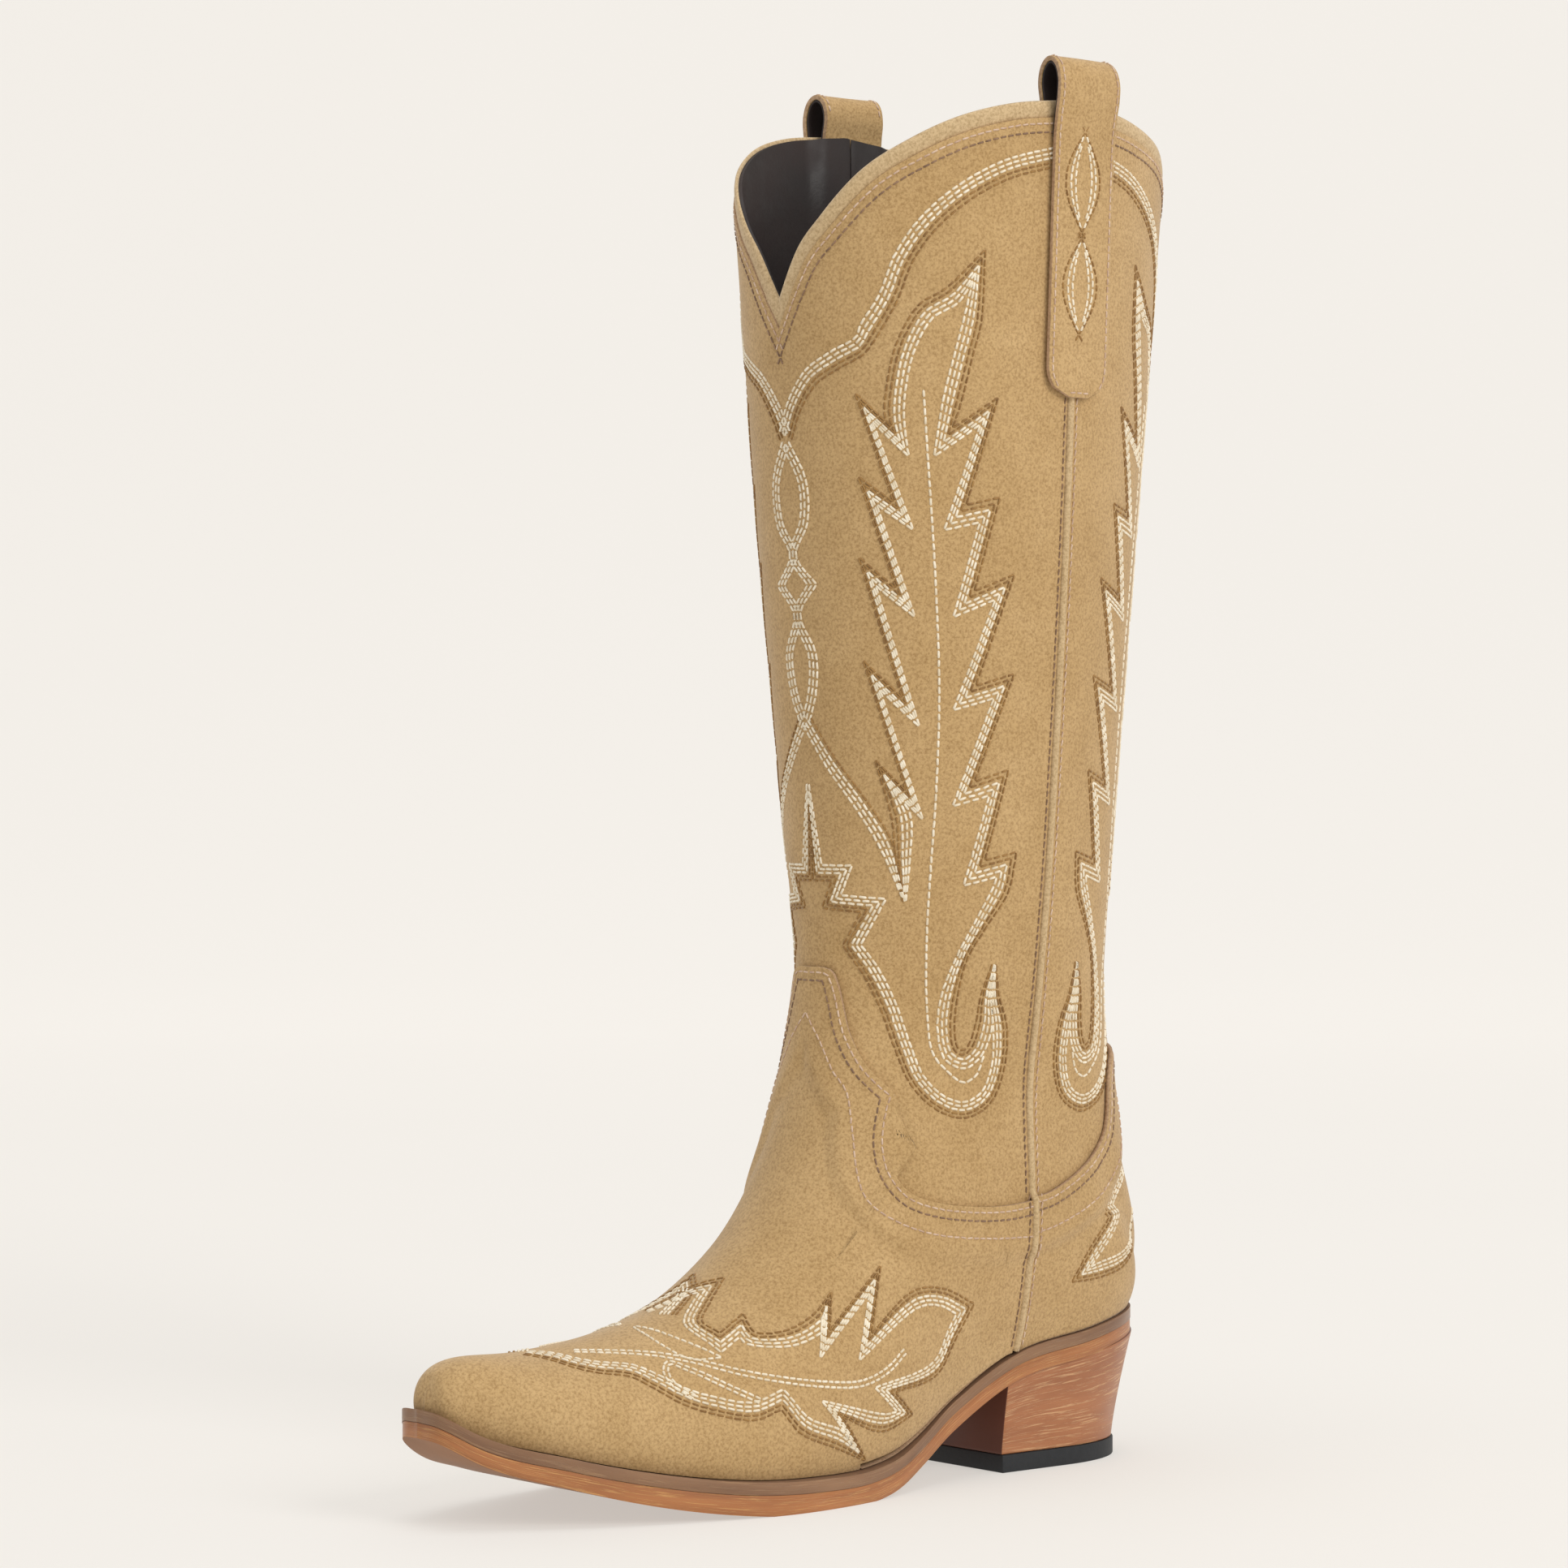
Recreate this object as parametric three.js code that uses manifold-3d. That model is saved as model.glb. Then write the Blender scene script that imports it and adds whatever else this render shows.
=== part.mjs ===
// Tall western ("cowboy") boot for the left foot, built up from its separate pieces.
// Millimetres. +Z is up and the floor is z = 0. The toe points to -Y, the heel to +Y and the outer
// (lateral) side of the foot to +X; x = 0 is the centre plane of the leg. The origin is on the floor
// under the front half of the heel.
import * as THREE from 'three';
import { mergeVertices } from 'three/addons/utils/BufferGeometryUtils.js';
import Module from 'manifold-3d';

// ---------------------------------------------------------------- driving dimensions
const OUTSOLE_LENGTH = 268;     // toe tip to the back of the heel seat
const SHAFT_TOP = 420;          // height of the rim at the sides of the leg
const LEG_WIDTH = 1.0;          // girth factor of the whole upper, side to side
const NOTCH_DEPTH = 60;         // how far the front dip of the rim lies below the sides
const BACK_DIP = 42;            // the same at the back
const TOE_LEAN = 9;             // how far the toe tip leans towards the inner side
const UPPER_THICK = 1.4;        // suede of the outer panels
const LINING_THICK = 1.0;
const GAP = 0.3;                // clearance kept between neighbouring pieces
const LINING_GAP = 0.45;        // clearance between outer panels and what lines them
const SEAT_GAP = 0.7;           // clearance between the upper and the sole unit
const SEAM_HALF = 1.3;          // half the slot between front and back panels at the side seam
const SIDE_BEAD = 0.95;         // radius of the bead in the side seam
const RIM_BIND_DROP = 5;        // how far the binding reaches down
const STRAP_WIDTH = 23;
const STRAP_LINING_THICK = 1.0;
const STRAP_RISE = 12;          // loop height above the rim
const STRAP_DROP = 90;          // how far the outer leg of the strap reaches down from the rim
const WELT_THICK = 3.2;
const WELT_LEDGE = 4.5;         // how far the welt stands out round the forefoot
const WELT_LEDGE_HEEL = 1.0;
const WELT_INSET = 6;           // how far the welt reaches in under the upper
const INSOLE_THICK = 2.2;
const SOCK_THICK = 1.4;
const LIFT_THICK = 5.5;
const NAIL_RADIUS = 1.2;

const LENGTH_SCALE = OUTSOLE_LENGTH / 268;
const LEG_SCALE = (SHAFT_TOP - 202) / 218;

// ---------------------------------------------------------------- small helpers
const lerp = (a, b, k) => a + (b - a) * k;
const clamp = (x, lo, hi) => Math.min(Math.max(x, lo), hi);
const smooth = (x) => { const k = clamp(x, 0, 1); return k * k * (3 - 2 * k); };
const range = (n, f) => Array.from({ length: n }, (_, i) => f(i));

// Smooth curve through knots at given parameters; the slope at a knot is the weighted mean of its two
// chords.
function through(ts, ps, t) {
  const n = ts.length;
  const x = clamp(t, ts[0], ts[n - 1]);
  let i = n - 2;
  while (i > 0 && x < ts[i]) i -= 1;
  const chord = (k) => ps[k].map((_, c) => (ps[k + 1][c] - ps[k][c]) / (ts[k + 1] - ts[k]));
  const slope = (k) => {
    if (k === 0) return chord(0);
    if (k === n - 1) return chord(n - 2);
    const h0 = ts[k] - ts[k - 1], h1 = ts[k + 1] - ts[k];
    const a = chord(k - 1), b = chord(k);
    return a.map((_, c) => (a[c] * h1 + b[c] * h0) / (h0 + h1));
  };
  const h = ts[i + 1] - ts[i], s = (x - ts[i]) / h, m0 = slope(i), m1 = slope(i + 1);
  const w = [2 * s ** 3 - 3 * s * s + 1, (s ** 3 - 2 * s * s + s) * h,
    -2 * s ** 3 + 3 * s * s, (s ** 3 - s * s) * h];
  return ps[i].map((_, c) => w[0] * ps[i][c] + w[1] * m0[c] + w[2] * ps[i + 1][c] + w[3] * m1[c]);
}
const profile = (points, x) => through(points.map((p) => p[0]), points.map((p) => [p[1]]), x)[0];

// ---------------------------------------------------------------- the last: side profiles
// Height of the feather line (where the upper meets the welt) along the boot.
const FEATHER = [[-236, 36], [-225, 28.5], [-200, 20.3], [-175, 14.5], [-150, 10.8], [-125, 9.5],
  [-100, 9.8], [-85, 12.5], [-75, 16.5], [-60, 25], [-36, 36.5], [0, 42.5], [36, 48]];
// Height of the underside of the outsole; flat under the ball, where it stands on the floor.
const TREAD = [[-236, 27.5], [-225, 20], [-200, 11.2], [-175, 4.8], [-150, 0.8], [-142, 0], [-100, 0],
  [-88, 2.2], [-75, 7.5], [-60, 16], [-36, 28], [0, 34], [36, 39.5]];
const featherZ = (y) => profile(FEATHER, y / LENGTH_SCALE);
const treadZ = (y) => profile(TREAD, y / LENGTH_SCALE);

// Cross-sections of the upper, from the toe to the rim. Each runs from the front centre line ("ridge")
// round the outer side to the feather line or, above the heel, to the back seam ("edge").
// ridge: [y, z]; bulge: sideways handle at the ridge; edge: [x, y, z] (no z = on the feather line);
// pull: handle at the edge.
const SECTIONS = [
  { ridge: [-230, 41], bulge: 0, edge: [0, -231], pull: [0, -1, 3] },         // toe prow
  { ridge: [-228, 45], bulge: 6, edge: [8, -229], pull: [2, -1, 8] },
  { ridge: [-219, 48], bulge: 10, edge: [13, -220], pull: [5, 0, 14] },
  { ridge: [-195, 48], bulge: 14, edge: [24, -199], pull: [6, 0, 18] },
  { ridge: [-165, 52], bulge: 18, edge: [34, -168], pull: [7, 0, 22] },
  { ridge: [-140, 61], bulge: 22, edge: [40, -135], pull: [8, 0, 28] },       // ball
  { ridge: [-118, 78], bulge: 26, edge: [36, -101], pull: [12, 0, 40] },      // instep
  { ridge: [-105, 98], bulge: 31, edge: [28, -65], pull: [18, 0, 50] },       // waist
  { ridge: [-97, 121], bulge: 36, edge: [27, -31], pull: [16, -4, 46] },      // heel breast
  { ridge: [-93, 139], bulge: 40, edge: [25, 4], pull: [16, -2, 38] },
  { ridge: [-92, 149], bulge: 43, edge: [16, 25], pull: [27, -4, 33] },
  { ridge: [-91.5, 158], bulge: 46, edge: [0, 34], pull: [42, 3, 27] },       // back of the heel seat
  { ridge: [-91.5, 170], bulge: 49, edge: [0, 34, 65], pull: [43, 2, 16] },
  { ridge: [-92, 184], bulge: 51, edge: [0, 24, 93], pull: [47, 0, 6] },
  { ridge: [-93, 201], bulge: 54, edge: [0, 16, 122], pull: [51, 0, 0] },     // ankle
  { ridge: [-95, 232], bulge: 58, edge: [0, 17, 172], pull: [58, 0, 0] },
  { ridge: [-101, 300], bulge: 67, edge: [0, 26, 285], pull: [67, 0, 0] },    // calf
  { ridge: [-111, 420], bulge: 75, edge: [0, 39, 420], pull: [75, 0, 0] },    // rim
];
const HEEL_BACK = 11;
const RIM = SECTIONS.length - 1;
const INSTEP = 7;
const stretchZ = (z) => (z > 202 ? 202 + (z - 202) * LEG_SCALE : z);
const steps = range(SECTIONS.length, (i) => i);
const edgeKnots = SECTIONS.map(({ edge: [x, y, z] }) =>
  [x * LEG_WIDTH, y * LENGTH_SCALE, z === undefined ? featherZ(y * LENGTH_SCALE) : stretchZ(z)]);
// All that shapes one section but its edge: ridge y and z, bulge, end of the handle at the edge.
const bodyKnots = SECTIONS.map(({ ridge, bulge, pull }, i) =>
  [ridge[0] * LENGTH_SCALE, stretchZ(ridge[1]), bulge * LEG_WIDTH,
    edgeKnots[i][0] + pull[0] * LEG_WIDTH, edgeKnots[i][1] + pull[1], edgeKnots[i][2] + pull[2]]);
const FOOT_STEPS = steps.slice(0, HEEL_BACK + 1), BACK_STEPS = steps.slice(HEEL_BACK);

// The feather line turns upward into the back seam at the back of the heel seat.
function edgeAt(t) {
  if (t >= HEEL_BACK) return through(BACK_STEPS, edgeKnots.slice(HEEL_BACK), t);
  const [x, y] = through(FOOT_STEPS, edgeKnots.slice(0, HEEL_BACK + 1), t);
  return [x, y, featherZ(y)];
}

// Point of the plain section curve t, a fraction v of the way from ridge to edge.
function sectionPoint(t, v) {
  const [ry, rz, bulge, hx, hy, hz] = through(steps, bodyKnots, t);
  const e = edgeAt(clamp(t, 0, RIM)), u = 1 - v;
  const b = [u ** 3 + 3 * u * u * v, 3 * u * v * v, v ** 3];
  return [3 * u * u * v * bulge + b[1] * hx + b[2] * e[0], b[0] * ry + b[1] * hy + b[2] * e[1],
    b[0] * rz + b[1] * hz + b[2] * e[2]];
}

// Round the ankle the section curves fan out from the heel; there each point is a weighted mean of its
// neighbours along the boot. The feather line itself stays as it is.
const FAN_REACH = 0.34;
const FAN_WEIGHTS = range(13, (i) => Math.exp(-((i - 6) ** 2) / 12));
function fannedPoint(t, v) {
  const body = FAN_REACH * smooth((t - 7.5) / 2) * (1 - smooth((t - 13.5) / 2));
  const atEdge = clamp((t - HEEL_BACK) / 6, 0, body);
  const reach = lerp(body, atEdge, smooth((v - 0.45) / 0.55));
  const sum = [0, 0, 0];
  FAN_WEIGHTS.forEach((weight, i) => {
    sectionPoint(t + (i - 6) * reach, v).forEach((c, k) => { sum[k] += weight * c; });
  });
  const total = FAN_WEIGHTS.reduce((a, b) => a + b);
  return sum.map((c) => c / total);
}

// The surface is read from a lattice of such points, with one more row or column beyond each border.
const PER_STEP = 20, ROUND_CELLS = 32;
const mirrorX = ([x, y, z]) => [-x, y, z];
const beyond = (border, inner) => border.map((c, k) => 2 * c - inner[k]);
const lattice = range(RIM * PER_STEP + 1, (i) => {
  const t = i / PER_STEP, row = range(ROUND_CELLS + 1, (j) => fannedPoint(t, j / ROUND_CELLS));
  const last = t < HEEL_BACK ? beyond(row[ROUND_CELLS], row[ROUND_CELLS - 1]) : mirrorX(row[ROUND_CELLS - 1]);
  return [mirrorX(row[1]), ...row, last];
});
lattice.unshift(lattice[0].map((p, j) => beyond(p, lattice[1][j])));
lattice.push(lattice.at(-1).map((p, j) => beyond(p, lattice.at(-2)[j])));
const cubicWeights = (s) => [(-s + 2 * s * s - s ** 3) / 2, (2 - 5 * s * s + 3 * s ** 3) / 2,
  (s + 4 * s * s - 3 * s ** 3) / 2, (s ** 3 - s * s) / 2];

// Point of the outside of the upper. t runs along the boot (section number), w round it: 0 on the
// ridge, +1 / -1 on the edge of the outer / inner side, and on past the edge round the back.
function surface(t, w) {
  const over = Math.abs(w) > 1 ? 2 - Math.abs(w) : Math.abs(w);
  const side = Math.sign(w || 1) * (Math.abs(w) > 1 ? -1 : 1);
  const ti = clamp(t, 0, RIM) * PER_STEP, vj = clamp(over, 0, 1) * ROUND_CELLS;
  const i = Math.min(Math.floor(ti), RIM * PER_STEP - 1), j = Math.min(Math.floor(vj), ROUND_CELLS - 1);
  const p = new THREE.Vector3(), across = cubicWeights(vj - j);
  cubicWeights(ti - i).forEach((a, m) => across.forEach((b, n) => {
    const [x, y, z] = lattice[i + m][j + n];
    p.x += a * b * x * side; p.y += a * b * y; p.z += a * b * z;
  }));
  return p;
}

function normal(t, w) {
  const d = 0.02;
  const over = Math.abs(w) > 1 ? 2 - Math.abs(w) : Math.abs(w);
  const side = Math.sign(w || 1) * (Math.abs(w) > 1 ? -1 : 1);
  const t0 = clamp(t - d, 0, RIM), t1 = clamp(t + d, 0, RIM);
  const v0 = clamp(over - d, 0, 1), v1 = clamp(over + d, 0, 1);
  const along = surface(t1, over).sub(surface(t0, over));
  const round = surface(t, v1).sub(surface(t, v0));
  const n = along.cross(round).negate();
  if (over < 0.01 || t < 0.01 || (t >= HEEL_BACK && over > 0.99)) n.x = 0;
  n.normalize();
  n.x *= side;
  return n;
}

// The toe leans to the inner side of the foot; everything below shares this bend.
function lean(p) {
  const k = clamp((-60 * LENGTH_SCALE - p.y) / (180 * LENGTH_SCALE), 0, 1);
  return new THREE.Vector3(p.x - TOE_LEAN * k ** 1.5, p.y, p.z);
}

const offset = (t, w, d) => surface(t, w).addScaledVector(normal(t, w), d);

// ---------------------------------------------------------------- building bodies
// Closed body between two matching sheets. `sheet` holds pairs [upper point, lower point] and the
// triangles join them; wherever the sheet has a free border a wall is added.
function shell(pairs, triangles) {
  const keyOf = ([a, b]) => [a.x, a.y, a.z, b.x, b.y, b.z].map((c) => Math.round(c * 1000)).join();
  const ids = new Map(), tops = [], bottoms = [];
  const id = pairs.map((pair) => {
    const key = keyOf(pair);
    if (!ids.has(key)) { ids.set(key, tops.length); tops.push(pair[0]); bottoms.push(pair[1]); }
    return ids.get(key);
  });
  const faces = triangles.map((f) => f.map((i) => id[i])).filter(([a, b, c]) => a !== b && b !== c && a !== c);
  const edges = new Map();
  for (const f of faces) {
    for (let k = 0; k < 3; k += 1) edges.set(`${f[k]}_${f[(k + 1) % 3]}`, [f[k], f[(k + 1) % 3]]);
  }
  const n = tops.length, index = [];
  for (const [a, b, c] of faces) index.push(a, b, c, n + c, n + b, n + a);
  for (const [a, b] of edges.values()) {
    if (!edges.has(`${b}_${a}`)) index.push(b, a, n + a, b, n + a, n + b);
  }
  const geometry = new THREE.BufferGeometry();
  geometry.setAttribute('position', new THREE.Float32BufferAttribute(
    [...tops, ...bottoms].flatMap((p) => [p.x, p.y, p.z]), 3));
  geometry.setIndex(index);
  return outward(geometry);
}

// Turns a closed body inside out if its volume comes out negative.
function outward(geometry) {
  const p = geometry.attributes.position, ix = geometry.index.array;
  const at = (i) => new THREE.Vector3().fromBufferAttribute(p, i);
  let volume = 0;
  for (let i = 0; i < ix.length; i += 3) volume += at(ix[i]).dot(at(ix[i + 1]).cross(at(ix[i + 2])));
  if (volume < 0) {
    for (let i = 0; i < ix.length; i += 3) { const a = ix[i]; ix[i] = ix[i + 2]; ix[i + 2] = a; }
  }
  return geometry;
}

// Grid of rows x columns; point(i, j) gives the pair of upper and lower point. From column `turn` on the
// cells are split along their other diagonal.
function gridShell(rows, columns, point, turn = Infinity) {
  const pairs = [], triangles = [];
  for (let i = 0; i < rows; i += 1) for (let j = 0; j < columns; j += 1) pairs.push(point(i, j));
  for (let i = 0; i + 1 < rows; i += 1) {
    for (let j = 0; j + 1 < columns; j += 1) {
      const a = i * columns + j, b = a + 1, c = a + columns, d = c + 1;
      triangles.push(...(j < turn ? [[a, b, d], [a, d, c]] : [[a, b, c], [b, d, c]]));
    }
  }
  return shell(pairs, triangles);
}

// Piece of the upper: at(i, j) gives [t, w, outer offset, inner offset].
function panel(rows, columns, at, turn) {
  return gridShell(rows, columns, (i, j) => {
    const [t, w, outer, inner] = at(i, j);
    return [lean(offset(t, w, outer)), lean(offset(t, w, inner))];
  }, turn);
}

// Tube or bar with the given closed cross-section ring at each station; closed ends or closed loop.
function sweep(rings, loop = false) {
  const m = rings[0].length, n = rings.length, index = [];
  for (let i = 0; i < (loop ? n : n - 1); i += 1) {
    for (let j = 0; j < m; j += 1) {
      const a = i * m + j, b = i * m + ((j + 1) % m), c = ((i + 1) % n) * m + j;
      const d = ((i + 1) % n) * m + ((j + 1) % m);
      index.push(a, b, d, a, d, c);
    }
  }
  const points = rings.flat();
  if (!loop) {
    for (const [base, flip] of [[0, true], [(n - 1) * m, false]]) {
      const centre = new THREE.Vector3();
      for (let j = 0; j < m; j += 1) centre.addScaledVector(points[base + j], 1 / m);
      points.push(centre);
      for (let j = 0; j < m; j += 1) {
        const a = base + j, b = base + ((j + 1) % m), c = points.length - 1;
        index.push(...(flip ? [c, b, a] : [c, a, b]));
      }
    }
  }
  const geometry = new THREE.BufferGeometry();
  geometry.setAttribute('position', new THREE.Float32BufferAttribute(
    points.flatMap((p) => [p.x, p.y, p.z]), 3));
  geometry.setIndex(index);
  return outward(geometry);
}

const boot = new THREE.Group();
boot.name = 'cowboy_boot';
const material = (color, roughness, metalness = 0) =>
  new THREE.MeshStandardMaterial({ color, roughness, metalness });
const SUEDE = material('#c3a46f', 0.95);
const BINDING = material('#c8b282', 0.8);
const LINING = material('#33292b', 0.6);
const STIFFENER = material('#b9a98c', 0.8);
const BOARD = material('#a98f6c', 0.85);
const CORK = material('#9b7148', 0.95);
const STEEL = material('#9a9ea3', 0.35, 1);
const WELT_MATERIAL = material('#9c7d5f', 0.7);
const SOLE = material('#a4683a', 0.55);
const HEEL_STACK = material('#9a5c31', 0.5);
const RUBBER = material('#24272a', 0.75);

function add(name, geometry, mat) {
  const flat = geometry.index ? geometry.toNonIndexed() : geometry;
  flat.computeVertexNormals();
  const mesh = new THREE.Mesh(flat, mat);
  mesh.name = name;
  boot.add(mesh);
}

// ---------------------------------------------------------------- where the pieces meet
const SEAM_Y = -34 * LENGTH_SCALE;

// How far round the section t the surface passes the fore-and-aft position y (1 where it never does).
function roundAtY(t, y) {
  if (surface(t, 1).y < y) return 1;
  let lo = 0.1, hi = 1;
  for (let k = 0; k < 26; k += 1) {
    const mid = (lo + hi) / 2;
    if (surface(t, mid).y < y) lo = mid; else hi = mid;
  }
  return (lo + hi) / 2;
}
const seamAt = (t) => roundAtY(t, SEAM_Y);
const seamFront = (t, gap = SEAM_HALF) => roundAtY(t, SEAM_Y - gap);
const seamBack = (t, gap = SEAM_HALF) => roundAtY(t, SEAM_Y + gap);

// Section number at which the line w(t) reaches the height z.
function stepAtHeight(z, wOf, from = INSTEP) {
  let lo = from, hi = RIM;
  for (let k = 0; k < 26; k += 1) {
    const mid = (lo + hi) / 2;
    if (surface(mid, wOf(mid)).z < z) lo = mid; else hi = mid;
  }
  return (lo + hi) / 2;
}

// Rim: drop below the shaft top against the way round the section (0 front, 1 back).
const FRONT_DROP = [[0, 1], [0.04, 0.78], [0.09, 0.61], [0.16, 0.4], [0.24, 0.24], [0.31, 0.13], [0.39, 0.05],
  [0.5, 0]];
const REAR_DROP = [[0.5, 0], [0.64, 0.1], [0.77, 0.27], [0.88, 0.56], [1, 1]];
function rimHeight(w) {
  const over = Math.abs(w) > 1 ? 2 - Math.abs(w) : Math.abs(w);
  return SHAFT_TOP - (over < 0.5 ? NOTCH_DEPTH * profile(FRONT_DROP, over) : BACK_DIP * profile(REAR_DROP, over));
}
const rimStep = (w) => stepAtHeight(rimHeight(w), () => w, RIM - 2);
const rimPoint = (w) => surface(rimStep(w), w);

// Shifts the surface point t, w by a small displacement lying in the surface.
function shift(t, w, d) {
  const e = 0.01;
  const st = surface(t, w).sub(surface(t - e, w)).divideScalar(e);
  const sw = surface(t, w + e).sub(surface(t, w - e)).divideScalar(2 * e);
  const a = st.dot(st), b = st.dot(sw), c = sw.dot(sw), p = st.dot(d), q = sw.dot(d);
  const det = a * c - b * b;
  return [t + (p * c - q * b) / det, w + (q * a - p * b) / det];
}

// Direction down from the rim, square to it and lying in the surface, mitred at the notches.
function rimDown(w) {
  const e = 0.012, mid = rimPoint(w);
  const before = mid.clone().sub(rimPoint(w - e)).normalize();
  const after = rimPoint(w + e).sub(mid).normalize();
  const along = before.clone().add(after).normalize();
  const n = normal(rimStep(w), w);
  const down = n.clone().cross(along).normalize();
  if (down.z > 0) down.negate();
  return down.divideScalar(Math.max(Math.sqrt((1 + before.dot(after)) / 2), 0.4));
}
function belowRim(w, distance) {
  return shift(rimStep(w), w, rimDown(w).multiplyScalar(distance));
}

// Edges in section number against the fraction of the way from the front centre line to the side seam.
const VAMP_TOP = [[0, 10.85], [0.075, 10.9], [0.095, 10], [0.125, 9.05], [0.19, 8.55], [0.28, 8.35], [0.31, 7.9],
  [0.35, 7.5], [0.42, 7.35], [0.5, 7.45], [0.6, 7.8], [0.75, 8.1], [1, 8.6]];
const SHAFT_FOOT = [[0, 9.65], [0.05, 8.8], [0.11, 8.33], [0.19, 8.05], [0.23, 7.65], [0.29, 7.2], [0.38, 7],
  [0.49, 7.05], [0.6, 7.3], [0.8, 7.8], [1, 8.33]];
// The same behind the side seam, against the fraction of the way from the seam to the back.
const COUNTER_TOP = [[0, 8.7], [0.1, 9.5], [0.2, 10.5], [0.3, 11.9], [0.5, 13.1], [0.65, 13.75], [1, 14.1]];
const BACK_FOOT = [[0, 8.42], [0.1, 8.9], [0.2, 9.6], [0.3, 10.7], [0.5, 12.3], [0.65, 13.1], [1, 13.6]];
// Section numbers where the feather line passes the front and the back edge of the side seam.
function featherStep(y) {
  let lo = 0, hi = HEEL_BACK;
  for (let k = 0; k < 26; k += 1) {
    const mid = (lo + hi) / 2;
    if (edgeAt(mid)[1] < y) lo = mid; else hi = mid;
  }
  return (lo + hi) / 2;
}
const VAMP_ROOT_END = featherStep(SEAM_Y - SEAM_HALF);
const COUNTER_ROOT = featherStep(SEAM_Y + SEAM_HALF);

const ramp = (a, b, n) => range(n, (i) => a + (b - a) * i / (n - 1));
const mirror = (half) => [...half.slice(1).map((c) => -c).reverse(), ...half];
const vampTop = (c) => profile(VAMP_TOP, Math.abs(c));
const shaftFoot = (c) => profile(SHAFT_FOOT, Math.abs(c));
const counterTop = (d) => profile(COUNTER_TOP, d);
const backFoot = (d) => profile(BACK_FOOT, d);
// Way round for fraction c (signed) before the seam, or d behind it, at section t.
const frontW = (t, c, gap) => c * seamFront(t, gap);
const backW = (t, d, gap) => { const s = seamBack(t, gap); return s + (1 - s) * d; };

// Every layer in front of the seams, and every layer behind them, shares one set of columns and rows, so
// that the layers stay parallel.
const FRONT_COLUMNS = [0, 0.04, 0.075, 0.125, 0.19, 0.28, 0.31, 0.35, 0.42, 0.5, 0.6, 0.72, 0.86, 1];
const BACK_COLUMNS = [0, 0.1, 0.2, 0.3, 0.42, 0.55, 0.7, 0.85, 1];
const INNER = UPPER_THICK + LINING_GAP;
const LINING_SEAM = 0.4;
// Rows over the lap, counted in lap widths from where the overlap starts to lift; the leg panel's own edge
// lies at LAP_START and the upper edge one lap width above it.
const LAP_START = 0.9;
const LAP_ROWS = [0.3, 0.6, 0.9, 1.3, 1.6, 1.9];

// ---------------------------------------------------------------- leg panels and their linings
// Leg panel between the edge `foot` and the rim. `ways` lists how far round each column lies: fraction and
// seam gap; way(t, c, gap) turns one into a position. Rows start on the lap and go on up from its edge
// `lapEdge` to the rim; a lining also reaches up behind the binding.
function legPanel(rows, ways, way, back, foot, lapEdge, outer, inner, lining) {
  const top = (c, gap, drop) => {
    const [t, w] = belowRim(way(RIM - 0.3, c, gap), drop);
    return [t, back(t, w, gap)];
  };
  const levels = [...LAP_ROWS.slice(2).map((k) => [(k - LAP_START), 0]), ...range(rows, (i) => [1, (i + 1) / rows])];
  const grid = levels.map(([lap, k]) => ways.map(([c, gap, rimEnd]) => {
    const [t1, c1] = top(c, gap, RIM_BIND_DROP + GAP);
    const t = lerp(lerp(foot(c), lapEdge(c), lap), t1, k ** 1.2);
    return [t, way(t, rimEnd ? c : lerp(c, c1, smooth((k - 0.5) * 2)), gap)];
  }));
  if (lining) {
    grid.push(ways.map(([c, gap, rimEnd]) => {
      const [t, c1] = top(c, gap, 1);
      return [t, way(t, rimEnd ? c : c1, gap)];
    }));
  }
  const turn = ways.some(([c]) => c > 1) ? (ways.length - 1) / 2 : Infinity;
  return panel(grid.length, ways.length, (i, j) => [...grid[i][j], outer, inner], turn);
}
const frontBack = (t, w, gap) => w / seamFront(t, gap);
const backBack = (t, w, gap) => { const s = seamBack(t, gap); return (w - s) / (1 - s); };
const frontWaysOf = (lining) => {
  const ways = mirror(FRONT_COLUMNS).map((c) => [c, SEAM_HALF, Math.abs(c) === 1]);
  return lining ? [[-1, LINING_SEAM, true], ...ways, [1, LINING_SEAM, true]] : ways;
};
const backWaysOf = (lining) => {
  const all = [...BACK_COLUMNS, ...BACK_COLUMNS.slice(0, -1).reverse().map((d) => 2 - d)];
  const ways = all.map((d) => [d, SEAM_HALF, d === 0 || d === 2]);
  return lining ? [[0, LINING_SEAM, true], ...ways, [2, LINING_SEAM, true]] : ways;
};
const fold = (d) => (d > 1 ? 2 - d : d);
for (const [name, lining, outer, thick, mat] of [['panel', false, 0, UPPER_THICK, SUEDE],
  ['lining', true, -INNER, LINING_THICK, LINING]]) {
  const shiftUp = lining ? 0.05 : 0;
  add(`shaft_front_${name}`, legPanel(13, frontWaysOf(lining), frontW, frontBack,
    (c) => shaftFoot(c) + shiftUp, vampTop, outer, outer - thick, lining), mat);
  add(`shaft_back_${name}`, legPanel(13, backWaysOf(lining), backW, backBack,
    (d) => backFoot(fold(d)) + shiftUp, (d) => counterTop(fold(d)), outer, outer - thick, lining), mat);
}

// ---------------------------------------------------------------- foot: vamp, counter, their linings
// Where the overlap of an upper edge on a leg panel starts to lift off the surface.
const liftStart = (top, foot) => foot - LAP_START * Math.max(top - foot, 0.05);
const lapLift = (top, foot, t) => smooth((t - liftStart(top, foot)) / (0.65 * Math.max(top - foot, 0.05)));
const LIFT = UPPER_THICK + GAP;
const FOOT_LINING_OUT = -INNER - LINING_THICK - GAP;

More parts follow.
